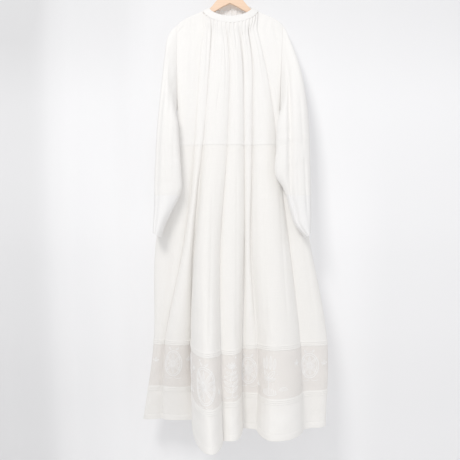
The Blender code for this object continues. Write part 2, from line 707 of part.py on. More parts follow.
def build():
    """Make every piece."""
    linen = surface("white_linen", (0.93, 0.92, 0.90), 0.85)
    net = surface("embroidered_net", (0.88, 0.87, 0.85), 0.85)
    wood = surface("pale_wood", (0.86, 0.66, 0.47), 0.5)
    steel = surface("hook_steel", (0.75, 0.75, 0.76), 0.3, 1.0)
    shell = surface("shell_button", (0.92, 0.90, 0.86), 0.3)
    hanger_wood(wood)
    hanger_hook(steel)
    neckband(linen)
    button(shell)
    bodice(FRONT, FRONT_NECK_COLUMNS, ("bodice_front",), linen)
    bodice(BACK, BACK_NECK_COLUMNS, ("bodice_back_right", "bodice_back_left"), linen)
    for body, columns, side in ((FRONT, FRONT_SKIRT_COLUMNS, "front"), (BACK, BACK_SKIRT_COLUMNS, "back")):
        zone = TUCK_COUNT * TUCK_PITCH
        skirt_piece(body, columns, f"skirt_{side}", SEAM_Z, SKIRT_ROWS + (LACE_TOP_Z + zone + 1,),
                    LACE_TOP_Z, linen, tucks_at=LACE_TOP_Z + zone + 1)
        skirt_piece(body, columns, f"lace_{side}", LACE_TOP_Z, ((LACE_TOP_Z + LACE_FOOT_Z) / 2,),
                    LACE_FOOT_Z, net)
        skirt_piece(body, columns, f"hem_{side}", LACE_FOOT_Z, (LACE_FOOT_Z - zone - 2,), HEM_Z,
                    linen, tucks_at=LACE_FOOT_Z - 1)
    sleeve("left", LEFT_ARMHOLE, LEFT_RINGS, -1, linen, net)
    sleeve("right", RIGHT_ARMHOLE, RIGHT_RINGS, 1, linen, net)


PARTS, CUTTERS = fresh_collections()
build()
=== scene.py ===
# %% [markdown]
# # A white smock on a wooden hanger
#
# This lesson dresses a long white smock that hangs on a hanger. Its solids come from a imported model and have
# the right sizes and main folds already. Each solid of cloth gets a thin sheet in its place, with fine folds,
# seams, tucks and embroidery, worked out from the same named sizes as the solids.
#
# Sizes are in millimetres and become metres where a mesh is made. The front faces -Y, +X is on the viewer's
# right, and the origin is where the hook bears on its rail.

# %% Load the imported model
import math
from collections import namedtuple

import bpy
import numpy as np
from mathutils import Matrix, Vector


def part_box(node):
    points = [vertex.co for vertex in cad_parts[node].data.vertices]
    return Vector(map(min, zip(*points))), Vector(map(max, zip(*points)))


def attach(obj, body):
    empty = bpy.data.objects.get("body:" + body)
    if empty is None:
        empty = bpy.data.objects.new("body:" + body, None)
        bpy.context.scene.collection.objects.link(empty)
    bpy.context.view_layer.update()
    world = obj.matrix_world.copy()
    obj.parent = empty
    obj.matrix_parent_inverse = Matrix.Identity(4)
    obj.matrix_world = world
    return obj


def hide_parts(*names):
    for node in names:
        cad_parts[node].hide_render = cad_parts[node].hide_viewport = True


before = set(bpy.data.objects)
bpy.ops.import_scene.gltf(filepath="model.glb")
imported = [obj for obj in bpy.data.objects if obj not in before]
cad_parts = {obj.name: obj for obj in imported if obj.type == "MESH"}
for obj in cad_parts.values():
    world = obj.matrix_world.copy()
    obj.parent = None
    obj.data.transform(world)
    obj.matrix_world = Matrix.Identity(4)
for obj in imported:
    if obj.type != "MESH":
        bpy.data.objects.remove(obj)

MM = 0.001
TAU = 2 * math.pi
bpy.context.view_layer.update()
for old in [o for o in bpy.data.objects if o.type in ("CAMERA", "LIGHT")]:
    bpy.data.objects.remove(old, do_unlink=True)
print("solids:", len(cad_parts))

# %% [markdown]
# ## Where the folds run
#
# A smock that hangs is a set of fold lines: ridges where the cloth comes forward and valleys where it goes
# back. Each line has a row in a table: how far across and how far forward it is at seven heights from neck to
# hem, how far it sinks at the lace and at the hem, and how many columns of cloth lie between it and the next
# line at the neck. A smooth curve joins the values. The solids were made from the same table.

# %% Name the heights and the fold lines
SEAM_Z = -619.0
LACE_TOP_Z = -1313.0
LACE_FOOT_Z = -1470.0
HEM_Z = -1603.0
LEVELS = np.array((-215.0, -318.0, -492.0, SEAM_Z, -983.0, LACE_TOP_Z, HEM_Z))

Line = namedtuple("Line", "fold across forward lace_drop hem_drop columns")
FRONT_LINES = (
    Line("side", (-185, -185, -184, -205, -262, -269, -312), (0, 0, 0, 0, 0, -12, -70), 0, -10, 3),
    Line("ridge", (-139, -146, -153, -163, -211, -249, -283), (13, 18, 20, 22, 28, 8, -58), 0, -10, 3),
    Line("valley", (-94, -104, -115, -124, -163, -229, -245), (12, 12, 13, 12, 16, -2, -70), 0, -10, 5),
    Line("ridge", (-80, -87, -99, -107, -144, -180, -190), (18, 21, 23, 27, 42, 26, -50), 0, -10, 4),
    Line("valley", (-64, -70, -83, -94, -127, -137, -138), (13, 14, 17, 18, 18, -8, -62), 0, -9, 6),
    Line("ridge", (-38, -35, -43, -53, -77, -74, -56), (24, 27, 32, 40, 88, 182, 252), 15, 11, 6),
    Line("valley", (-11, -1, -3, -9, -33, -30, -22), (17, 17, 19, 22, 46, 100, 140), 16, 3, 5),
    Line("ridge", (10, 22, 23, 21, 8, 5, 5), (25, 27, 32, 38, 66, 104, 156), 20, 0, 4),
    Line("valley", (34, 44, 49, 49, 50, 44, 48), (14, 11, 11, 10, 16, 34, 40), 10, -9, 5),
    Line("ridge", (48, 61, 63, 63, 62, 69, 70), (23, 22, 24, 26, 36, 46, 46), 9, -9, 4),
    Line("valley", (63, 78, 79, 79, 73, 94, 92), (14, 13, 13, 13, 24, 44, 66), 7, -9, 5),
    Line("ridge", (78, 99, 114, 120, 139, 150, 147), (19, 25, 31, 38, 72, 104, 157), 5, 0, 4),
    Line("valley", (96, 120, 151, 165, 207, 243, 249), (12, 14, 14, 17, 24, 34, 58), 2, -5, 3),
    Line("ridge", (132, 146, 163, 184, 245, 290, 292), (13, 18, 19, 21, 34, 32, 30), 1, -6, 3),
    Line("side", (183, 178, 174, 203, 285, 341, 335), (0, 0, 0, 0, 0, 0, -2), 0, -9, 0),
)
BACK_LINES = (
    Line("side", (183, 178, 174, 203, 285, 341, 335), (0, 0, 0, 0, 0, 0, -2), 0, -9, 3),
    Line("ridge", (140, 143, 146, 168, 236, 286, 290), (-13, -22, -27, -30, -50, -76, -112), 0, -6, 3),
    Line("valley", (99, 107, 113, 128, 182, 226, 238), (-12, -15, -17, -20, -36, -56, -84), 0, -7, 5),
    Line("ridge", (76, 83, 91, 102, 138, 170, 176), (-20, -25, -31, -38, -70, -124, -184), 0, -3, 4),
    Line("valley", (52, 57, 65, 75, 98, 112, 104), (-13, -16, -18, -22, -40, -66, -100), 0, -6, 5),
    Line("ridge", (28, 33, 37, 42, 52, 62, 56), (-23, -27, -29, -34, -58, -98, -150), 0, -2, 4),
    Line("valley", (2, 2, 2, 2, 6, 14, 16), (-14, -17, -19, -23, -40, -72, -112), 0, -5, 5),
    Line("ridge", (-24, -29, -32, -37, -40, -44, -50), (-24, -28, -33, -40, -74, -130, -200), 0, -2, 4),
    Line("valley", (-48, -55, -62, -72, -92, -106, -118), (-13, -16, -19, -24, -46, -84, -136), 0, -6, 5),
    Line("ridge", (-72, -79, -85, -96, -120, -136, -150), (-20, -25, -29, -34, -58, -104, -164), 0, -3, 4),
    Line("valley", (-95, -103, -109, -122, -150, -164, -184), (-12, -15, -17, -20, -40, -78, -134), 0, -7, 3),
    Line("ridge", (-140, -143, -148, -166, -210, -222, -252), (-13, -22, -26, -29, -52, -86, -146), 0, -7, 3),
    Line("side", (-185, -185, -184, -205, -262, -269, -312), (0, 0, 0, 0, 0, -12, -70), 0, -10, 0),
)

Body = namedtuple("Body", "kinds across forward drop columns facing")


def body_of_lines(lines, facing):
    """Turn the table of one side of the smock into arrays, a row for each fold line."""
    kinds, across, forward, lace_drop, hem_drop, columns = (np.array(part) for part in zip(*lines))
    drop = np.stack([0 * lace_drop, lace_drop, hem_drop], axis=1)
    return Body(kinds, across.astype(float), forward.astype(float), drop.astype(float), columns[:-1], facing)


FRONT = body_of_lines(FRONT_LINES, 1)
BACK = body_of_lines(BACK_LINES, -1)
print("fold lines in front:", len(FRONT.kinds), "and behind:", len(BACK.kinds))

# %% [markdown]
# ## Armholes, shoulders and neck
#
# The cloth lies over the hanger's arms, rolls over its edge at the shoulder and hangs from the neckband in
# between. These few sizes say where each of those edges runs.

# %% Name the edges of the upper part
SHOULDER_X = (95.0, 125.0, 150.0, 172.0, 186.0)
SHOULDER_Z = (-148.0, -161.0, -171.5, -185.0, -198.0)
ROLL_RADIUS = 8.0
UNDERARM_SHARE = 0.7
ARMHOLE_HALF = 8.5
ARMHOLE_BULGE = 8.0
NECK_MIDDLE = 2.0
NECK_HALF_WIDTH = 97.0
NECK_FORWARD = 30.0
NECK_BACKWARD = 27.0
NECK_END_Z = -148.0
NECK_SAG = 48.0
NECK_RISE = 12.0
NECK_EVEN = 0.65
NECK_ROUND = 0.35
NECK_BLUNTNESS = 3.8
NECK_SAG_POWER = 0.55
NECK_RISE_POWER = 1.5
NECK_SETTLE = 55.0
GATHER_DEPTH = 2.3
GATHER_FADE = 105.0
COLUMNS_PER_GATHER = 3

Armhole = namedtuple("Armhole", "top_x top_z foot_x foot_z")


def armhole(top_x, foot_x):
    """Place an armhole from the shoulder line down to the share of the upper part that it takes."""
    top_z = float(np.interp(abs(top_x), SHOULDER_X, SHOULDER_Z))
    return Armhole(top_x, top_z, foot_x, top_z + UNDERARM_SHARE * (SEAM_Z - top_z))


LEFT_ARMHOLE = armhole(-185.0, -184.0)
RIGHT_ARMHOLE = armhole(183.0, 174.0)


def ease_in(t):
    """Run from 0 to 1 with a level start and end: 3t2 - 2t3."""
    t = np.clip(t, 0.0, 1.0)
    return t * t * (3 - 2 * t)


def cubic(first, last, first_slope, last_slope, t, span=1.0):
    """Join two values, a span apart, by a cubic that leaves and arrives with the given slopes."""
    ease = ease_in(t)
    bend = first_slope * t * (1 - t) ** 2 - last_slope * t * t * (1 - t)
    return first * (1 - ease) + last * ease + span * bend


def add_up(steps):
    """Add steps up from 0."""
    return np.concatenate([[0], np.cumsum(steps)])


def run_along(points):
    """Measure how far along a line of points each of them is."""
    return add_up(np.linalg.norm(np.diff(points, axis=0), axis=1))


def roll_over(below, radius):
    """Give the share of full depth that cloth has below an edge it rolls over: a quarter circle."""
    left = 1 - np.clip(below, 0.0, radius) / radius
    return np.sqrt(1 - left * left)


def armhole_edge(hole, height):
    """Give the place across and the half depth of an armhole: a bulging oval that closes at its foot."""
    share = np.clip((hole.top_z - height) / (hole.top_z - hole.foot_z), 0.0, 1.0)
    across = hole.top_x + (hole.foot_x - hole.top_x) * share
    half = ARMHOLE_HALF + ARMHOLE_BULGE * np.sin(math.pi * share)
    return across, half * np.sqrt(1 - share * share)


def neck_point(share, facing):
    """Follow the lower edge of the band from its left end, -1, to its right end, 1, as a blunt flat oval."""
    swing = NECK_EVEN * share + NECK_ROUND * np.sin(share * math.pi / 2)
    left = 1 - np.minimum(swing * swing, 1.0)
    depth = (1 - (1 - left) ** (NECK_BLUNTNESS / 2)) ** (1 / NECK_BLUNTNESS)
    front = np.asarray(facing) > 0
    back_by = np.where(front, -NECK_FORWARD, NECK_BACKWARD) * depth
    rise = np.where(front, -NECK_SAG * left ** NECK_SAG_POWER, NECK_RISE * left ** NECK_RISE_POWER)
    return NECK_MIDDLE + NECK_HALF_WIDTH * swing, back_by, NECK_END_Z + rise


print("armholes reach down to", round(LEFT_ARMHOLE.foot_z), "and", round(RIGHT_ARMHOLE.foot_z))

# %% [markdown]
# ## From fold lines to a surface
#
# A point of the cloth is found from two numbers: its place along the fold lines, where 3.5 is halfway between
# line 3 and line 4, and its height. Between a valley and a ridge the cloth climbs like a quarter of a sine,
# so valleys are creased and ridges are round. Whole arrays of points are worked out at once.

# %% Work out points of the body's cloth
RIDGE_ROUNDNESS = 0.5
RISE_POWER = 0.85


def read_levels(table, levels, line, height):
    """Read fold lines at some heights: a cubic between levels, with slopes from the neighbours."""
    slopes = np.gradient(table, levels, axis=1)
    height = np.clip(height, levels[-1], levels[0])
    above = np.clip(np.searchsorted(-levels, -height) - 1, 0, len(levels) - 2)
    span = levels[above + 1] - levels[above]
    return cubic(table[line, above], table[line, above + 1], slopes[line, above], slopes[line, above + 1],
                 (height - levels[above]) / span, span)


def line_point(body, line, height):
    """Give a fold line's place across, forward and drop; a side line follows its armhole higher up."""
    across = read_levels(body.across, LEVELS, line, height)
    forward = read_levels(body.forward, LEVELS, line, height)
    for hole, on_this_side in ((LEFT_ARMHOLE, across < 0), (RIGHT_ARMHOLE, across >= 0)):
        edge_across, half = armhole_edge(hole, height)
        beside = (body.kinds[line] == "side") & on_this_side & (height > hole.foot_z)
        across = np.where(beside, edge_across, across)
        forward = np.where(beside, body.facing * half, forward)
    return across, forward, read_levels(body.drop, LEVELS[-3:], line, height)


def body_cloth(body, place, height):
    """Find the cloth at places and heights of one shape: quarter sines between the fold lines."""
    place, height = np.broadcast_arrays(place, height)
    stretch = np.minimum(place.astype(int), len(body.kinds) - 2)
    share = place - stretch
    rising = body.kinds[stretch] != "ridge"
    low_line = np.where(rising, stretch, stretch + 1)
    high_line = np.where(rising, stretch + 1, stretch)
    climb = np.where(rising, share, 1 - share)
    at_side = body.kinds[low_line] == "side"
    roundness = np.where(at_side, 1.0, RIDGE_ROUNDNESS)
    swing = np.sin(climb * math.pi / 2)
    run = (1 - roundness) * climb + roundness * (1 - np.cos(climb * math.pi / 2))
    rise = np.where(at_side, swing, swing ** RISE_POWER)
    low = line_point(body, low_line, height)
    high = line_point(body, high_line, height)
    across, forward, drop = (a + (b - a) * (run if n == 0 else rise)
                             for n, (a, b) in enumerate(zip(low, high)))
    return np.stack([across, -forward, height - drop], axis=-1)


print("middle of the front at the hip:", body_cloth(FRONT, np.array([7.0]), np.array([-983.0])).round(1))

# %% [markdown]
# ## Small folds and creases
#
# Between the main folds the real cloth ripples a little: fine and close under the gathered neck, wider and
# softer further down. Smooth noise, stretched along the height, gives such ripples. It is read by distance
# along the cloth and not across the picture, so the ripples run with the folds. A few creases that stand out
# are listed, each as a soft trough along a short line.

# %% Work out ripples and creases


def soft_noise(u, v, seed, period=64):
    """Blend random values on a lattice smoothly, to run between -1 and 1; u comes back after a period."""
    lattice = np.random.default_rng(seed).uniform(-1, 1, (period, 64))
    left, low = np.floor(u).astype(int), np.floor(v).astype(int)
    along, up = ease_in(u - left), ease_in(v - low)
    corner = [[lattice[(left + i) % period, (low + j) % 64] for j in (0, 1)] for i in (0, 1)]
    first = corner[0][0] * (1 - along) + corner[1][0] * along
    second = corner[0][1] * (1 - along) + corner[1][1] * along
    return first * (1 - up) + second * up


def unit(vectors):
    """Scale vectors to a length of 1."""
    return vectors / np.maximum(np.linalg.norm(vectors, axis=-1, keepdims=True), 1e-9)


def outward(grid, closed=False):
    """Give a grid's outward directions: down the rows crossed with along them."""
    if closed:
        around = np.roll(grid, -1, 1) - np.roll(grid, 1, 1)
    else:
        around = np.gradient(grid, axis=1)
    return unit(np.cross(np.gradient(grid, axis=0), around))


SEAM_SAMPLES = 900


def seam_distance(body, place):
    """Measure along the cloth at the seam, from the first side line to some places."""
    fine = np.linspace(0, len(body.kinds) - 1, SEAM_SAMPLES)
    return np.interp(place, fine, run_along(body_cloth(body, fine, np.full_like(fine, SEAM_Z))))


Ripple = namedtuple("Ripple", "across down depth")
FINE = Ripple(6.5, 170, 1.0)
MIDDLE = Ripple(17, 260, 1.25)
WIDE = Ripple(34, 420, 2.2)
CRUMPLE = Ripple(26, 31, 1.0)
NECK_REACH = 210
FINE_EVERYWHERE = 0.3
AT_NECK = 0.55
GAIN = 0.9
GROWN_AT = 1300
CRUMPLES_AT_NECK = 0.35
CRUMPLES_GAIN = 1.1
CRUMPLES_FROM = -1150
CRUMPLES_GROW = 300
CALM_AT_SIDE = 0.6


def ripple(kind, along, down, seed):
    """Ripple the cloth at random, with the pitches and the depth of a kind."""
    return soft_noise(along / kind.across, down / kind.down, seed) * kind.depth


def ripples(body, place, height):
    """Add ripples of three sizes, which run down, and the crumples of worn cloth, which grow to the hem."""
    along = seam_distance(body, place)
    below = np.clip(LEVELS[0] - height, 0, None)
    growth = AT_NECK + GAIN * np.clip(below / GROWN_AT, 0, 1)
    seed = 10 if body.facing > 0 else 20
    fine = ripple(FINE, along, height, seed) * (FINE_EVERYWHERE + np.exp(-below / NECK_REACH))
    middle = ripple(MIDDLE, along, height, seed + 1) * growth
    wide = ripple(WIDE, along, height, seed + 2) * growth
    worn = CRUMPLES_AT_NECK + CRUMPLES_GAIN * ease_in((CRUMPLES_FROM - height) / CRUMPLES_GROW)
    crumple = ripple(CRUMPLE, along, height, seed + 3) * worn
    from_side = np.minimum(place, len(body.kinds) - 1 - place)
    return (fine + middle + wide + crumple) * ease_in(from_side / CALM_AT_SIDE)


CREASE_END = 60
Crease = namedtuple("Crease", "top_x top_z foot_x foot_z width depth")
FRONT_CREASES = (
    Crease(-158, -200, -184, -232, 3.5, 2.4),
    Crease(-183, -224, -180, -285, 3.2, 2.0),
    Crease(151, -200, 171, -274, 3.4, 2.4),
    Crease(-46, -215, -40, -330, 2.6, 1.3),
    Crease(-23, -232, -28, -378, 3.0, 2.0),
    Crease(-28, -378, -55, -545, 4.0, 1.8),
    Crease(20, -212, 20, -480, 2.6, 1.6),
    Crease(20, -480, 18, -640, 3.0, 1.0),
    Crease(-72, -215, -86, -420, 3.4, 1.6),
    Crease(-108, -232, -122, -470, 5.0, 1.4),
    Crease(112, -260, 128, -470, 4.5, 1.3),
    Crease(86, -640, 84, -1290, 6.0, 1.6),
    Crease(108, -700, 121, -1280, 7.0, 1.8),
    Crease(170, -760, 196, -1250, 6.0, 1.5),
    Crease(-105, -700, -128, -1290, 5.0, 1.6),
    Crease(-172, -690, -206, -1180, 6.0, 1.5),
    Crease(-60, -760, -68, -1330, 6.0, 1.6),
    Crease(24, -690, 26, -1320, 5.0, 1.3),
    Crease(252, -940, 300, -1260, 7.0, 1.6),
)
BACK_CREASES = (
    Crease(-64, -200, -78, -470, 3.6, 1.8),
    Crease(14, -190, 16, -520, 3.2, 1.6),
    Crease(62, -200, 84, -520, 4.0, 1.5),
    Crease(-118, -230, -128, -560, 5.0, 1.4),
    Crease(-90, -700, -132, -1280, 6.0, 1.7),
    Crease(-20, -680, -24, -1300, 6.0, 1.5),
    Crease(120, -690, 168, -1260, 6.5, 1.7),
    Crease(208, -800, 262, -1270, 7.0, 1.5),
)


def crease_depth(creases, points):
    """Sum soft troughs: each is a bell across its line, and fades out at both its ends."""
    across, height = points[..., 0], points[..., 2]
    depth = np.zeros_like(across)
    for crease in creases:
        run = np.array((crease.foot_x - crease.top_x, crease.foot_z - crease.top_z), float)
        length = np.hypot(*run)
        from_top = (across - crease.top_x, height - crease.top_z)
        along = (from_top[0] * run[0] + from_top[1] * run[1]) / length
        off = (from_top[0] * run[1] - from_top[1] * run[0]) / length
        end = min(CREASE_END, length / 3)
        fade = ease_in(along / end) * ease_in((length - along) / end)
        depth += crease.depth * np.exp(-(off / crease.width) ** 2) * fade
    return depth


def dress_body(body, place, height, points, away_from_edge=1.0):
    """Move points of the body out by its ripples and in by its creases."""
    creases = FRONT_CREASES if body.facing > 0 else BACK_CREASES
    shift = ripples(body, place, height) - crease_depth(creases, points)
    return points + outward(points) * (shift * away_from_edge)[..., None]


print("creases laid by hand:", len(FRONT_CREASES) + len(BACK_CREASES))

# %% [markdown]
# ## Shader maths as plain sums
#
# A finish is a small graph of nodes. Two short classes keep the graphs readable: one wraps a node's output so
# that ordinary sums and products on it add Math nodes, and the other makes any other node with one method.

# %% Make the two classes for finishes


class Number:
    """A number that a node gives. Sums and products on it add Math nodes."""

    def __init__(self, finish, socket):
        self.finish = finish
        self.socket = socket

    def math(self, operation, other, swapped=False):
        """Add a Math node for this number and another."""
        first, second = (other, self) if swapped else (self, other)
        node = self.finish.node("ShaderNodeMath", {"operation": operation}, {0: first, 1: second})
        return Number(self.finish, node.outputs[0])

    def __add__(self, other):
        return self.math("ADD", other)

    def __sub__(self, other):
        return self.math("SUBTRACT", other)

    def __rsub__(self, other):
        return self.math("SUBTRACT", other, swapped=True)

    def __mul__(self, other):
        return self.math("MULTIPLY", other)

    def __pow__(self, other):
        return self.math("POWER", other)

    def wave(self, pitch, kind="SINE"):
        """Turn a distance into a wave of a pitch, from -1 to 1."""
        return (self * (TAU / pitch)).math(kind, 0.0)


class Finish:
    """A material whose nodes are added by one method."""

    def __init__(self, name, colour, roughness, **fixed):
        self.material = bpy.data.materials.new(name)
        self.material.use_nodes = True
        self.tree = self.material.node_tree
        self.shader = self.tree.nodes["Principled BSDF"]
        self.shader.inputs["Base Color"].default_value = (*colour, 1.0)
        self.shader.inputs["Roughness"].default_value = roughness
        for socket, value in fixed.items():
            self.shader.inputs[socket.replace("_", " ")].default_value = value
        self.material.diffuse_color = (*colour, 1.0)

    def node(self, kind, settings=None, inputs=None):
        """Add a node: first its settings, then its inputs, which are values, numbers or sockets."""
        node = self.tree.nodes.new(kind)
        for name, value in (settings or {}).items():
            setattr(node, name, value)
        for name, value in (inputs or {}).items():
            self.link(value, node.inputs[name])
        return node

    def link(self, value, socket):
        """Link or set one input."""
        if isinstance(value, Number):
            value = value.socket
        if isinstance(value, bpy.types.NodeSocket):
            self.tree.links.new(value, socket)
        else:
            socket.default_value = value

    def feed(self, name, value):
        """Feed one input of the shader."""
        self.link(value, self.shader.inputs[name])

    def number(self, node, output=0):
        """Take a node's output as a number."""
        return Number(self, node.outputs[output])

    def cloth_map(self):
        """Read the map in metres that follows the cloth."""
        return self.node("ShaderNodeUVMap", {"uv_map": "cloth"}).outputs[0]

    def own_place(self):
        """Read the object's own coordinates."""
        return self.node("ShaderNodeTexCoord").outputs["Object"]

    def axes(self, vector):
        """Split a vector into numbers, one for each axis."""
        split = self.node("ShaderNodeSeparateXYZ", inputs={0: vector})
        return [self.number(split, n) for n in range(3)]

    def stretched_noise(self, vector, scale, detail=2.0, roughness=0.5):
        """Read noise whose size differs along each axis; it runs from 0 to 1."""
        sized = self.node("ShaderNodeMapping", inputs={"Vector": vector, "Scale": scale})
        return self.number(self.node("ShaderNodeTexNoise", inputs={
            "Vector": sized.outputs[0], "Scale": 1.0, "Detail": detail, "Roughness": roughness}), "Fac")

    def smooth_step(self, number, start, end):
        """Rise smoothly from 0 at the start to 1 at the end."""
        step = self.node("ShaderNodeMapRange", {"interpolation_type": "SMOOTHSTEP"},
                         {"Value": number, "From Min": start, "From Max": end})
        return self.number(step, "Result")

    def colour_by(self, number, low, high):
        """Mix two colours by a number from 0 to 1, and feed the base colour."""
        mix = self.node("ShaderNodeMix", {"data_type": "RGBA"},
                        {"Factor": number, 6: (*low, 1.0), 7: (*high, 1.0)})
        self.feed("Base Color", mix.outputs[2])

    def bump(self, height, distance):
        """Raise the surface by a height from 0 to 1 times a distance in metres."""
        node = self.node("ShaderNodeBump", inputs={"Height": height, "Distance": distance, "Strength": 1.0})
        self.feed("Normal", node.outputs[0])


print("classes ready:", Number.__name__, Finish.__name__)

# %% [markdown]
# ## Linen and net
#
# Hand-woven linen is almost white, matt and a little uneven: some threads are thicker than others, and the
# cloth never lies quite flat. The finish reads a map in metres that follows the cloth, so the threads run
# with it. Net is the same thread with holes between, so its alpha is low there. Both let some light through.

# %% Make the cloth finishes
WEAVE_PITCH = 0.0011


def thread_streaks(finish, vector):
    """Make uneven threads both ways: two noises, each drawn out along its own thread."""
    along = finish.stretched_noise(vector, (900, 26, 1), 3.0)
    across = finish.stretched_noise(vector, (26, 900, 1), 3.0)
    return (along + across) * 0.5


def linen(name, bright, shade, opacity):
    """Finish plain linen: streaks in the colour, soft crumples, a fine weave, and a given opacity."""
    finish = Finish(name, bright, 0.85, Sheen_Weight=0.12, Sheen_Roughness=0.5)
    vector = finish.cloth_map()
    u, v, _ = finish.axes(vector)
    streaks = thread_streaks(finish, vector)
    patches = finish.stretched_noise(vector, (9, 5, 1), 2.0)
    crumples = finish.stretched_noise(vector, (34, 9, 1), 3.0, 0.55)
    finish.colour_by(streaks * 0.6 + patches * 0.5 - 0.05, shade, bright)
    finish.bump(crumples + streaks * 0.12 + u.wave(WEAVE_PITCH) * v.wave(WEAVE_PITCH) * 0.02, 0.0016)
    finish.feed("Alpha", streaks * 0.12 + (opacity - 0.06))
    finish.feed("Roughness", streaks * 0.1 + 0.8)
    return finish.material


def net(name, bright, shade, pitch, hole_opacity):
    """Finish net: threads both ways a pitch apart, and nearly clear between them."""
    finish = Finish(name, bright, 0.8, Sheen_Weight=0.1, Sheen_Roughness=0.5)
    vector = finish.cloth_map()
    u, v, _ = finish.axes(vector)
    streaks = thread_streaks(finish, vector)
    threads = u.wave(pitch, "COSINE").math("MAXIMUM", v.wave(pitch, "COSINE")) * 0.5 + 0.5
    dense = threads ** 3.0
    finish.colour_by(streaks, shade, bright)
    finish.bump(dense * 0.6 + streaks * 0.4, 0.0003)
    finish.feed("Alpha", dense * (1 - hole_opacity) + hole_opacity)
    return finish.material


LINEN = linen("white_linen", (0.90, 0.885, 0.86), (0.84, 0.82, 0.79), 0.955)
SKIRT_LINEN = linen("thin_white_linen", (0.905, 0.885, 0.85), (0.845, 0.82, 0.78), 0.945)
NET = net("embroidered_net", (0.875, 0.83, 0.785), (0.81, 0.765, 0.72), 0.0019, 0.74)
CUFF_NET = net("fine_cuff_net", (0.90, 0.89, 0.88), (0.83, 0.82, 0.81), 0.0024, 0.88)
print("cloth finishes:", [m.name for m in (LINEN, SKIRT_LINEN, NET, CUFF_NET)])

# %% [markdown]
# ## Putting cloth in place of a solid
#
# A grid of points becomes a mesh of squares, with a map of how far each point is along the cloth. The cloth
# then stands for its solid, which stays for collision and isn't shown.

# %% Turn grids into cloth


def grid_map(points):
    """Measure along the rows and down the columns of a grid, in metres, from its middle and its top."""
    along = np.linalg.norm(np.diff(points, axis=1), axis=-1)
    along = np.concatenate([np.zeros((len(points), 1)), np.cumsum(along, axis=1)], axis=1)
    along -= along[:, [points.shape[1] // 2]]
    down = add_up(np.linalg.norm(np.diff(points, axis=0), axis=-1).mean(axis=1))
    return np.stack([along, np.broadcast_to(-down[:, None], along.shape)], axis=-1) * MM


def grid_faces(rows, columns):
    """List the squares of a grid, whose outward side is down crossed with along."""
    corner = np.arange(rows * columns).reshape(rows, columns)
    order = (corner[:-1, :-1], corner[1:, :-1], corner[1:, 1:], corner[:-1, 1:])
    return np.stack(order, axis=-1).reshape(-1, 4)


def add_mesh(name, points, faces, material, places=None):
    """Make an object from points in metres and faces; places are its map, if it has one."""
    mesh = bpy.data.meshes.new(name)
    mesh.from_pydata(points, [], faces)
    if places is not None:
        layer = mesh.uv_layers.new(name="cloth")
        layer.data.foreach_set("uv", places[faces.ravel()].ravel())
    mesh.materials.append(material)
    mesh.shade_smooth()
    item = bpy.data.objects.new(name, mesh)
    bpy.context.scene.collection.objects.link(item)
    return item


def add_piece(name, points, faces, material, slot, places=None):
    """Add a mesh that rides on the smock's body; the slot is not used."""
    item = add_mesh(name, points, faces, material, places)
    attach(item, "root")
    return item


def wear(name, points, material, node):
    """Make a piece of cloth from its grid and let it stand for its solid, which is hidden."""
    item = add_piece(name, points.reshape(-1, 3) * MM, grid_faces(*points.shape[:2]), material,
                     "net" if material in (NET, CUFF_NET) else "linen", grid_map(points).reshape(-1, 2))
    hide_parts(node)


# %% [markdown]
# ## The upper part
#
# The front hangs from the band in sixteen gathers between two smooth shoulders. Its top edge is that of the
# band and of the hanger's arms, and it settles onto the fold lines a hand's width below. The back is the same
# thing in two halves that meet at a seam.

# %% Lay the upper part over the hanger
NECK_STEPS = 5
UPPER_ROWS = 140
ROW_CROWDING = 1.5
GATHER_RIPPLE = Ripple(1.0, 90, 0.35)
GATHER_EDGE = 1.6
GATHER_SECOND = 0.25
GATHER_LEAN = 0.6
DRESSED_BELOW = 26.0
DRESSED_COLUMNS = 1.5
SEAM_RAISE = 0.7
SEAM_INSIDE = 6.0
SEAM_STEP = 2


def level_outward(grid):
    """Give a grid's outward directions, made level."""
    return unit(outward(grid) * (1, 1, 0))


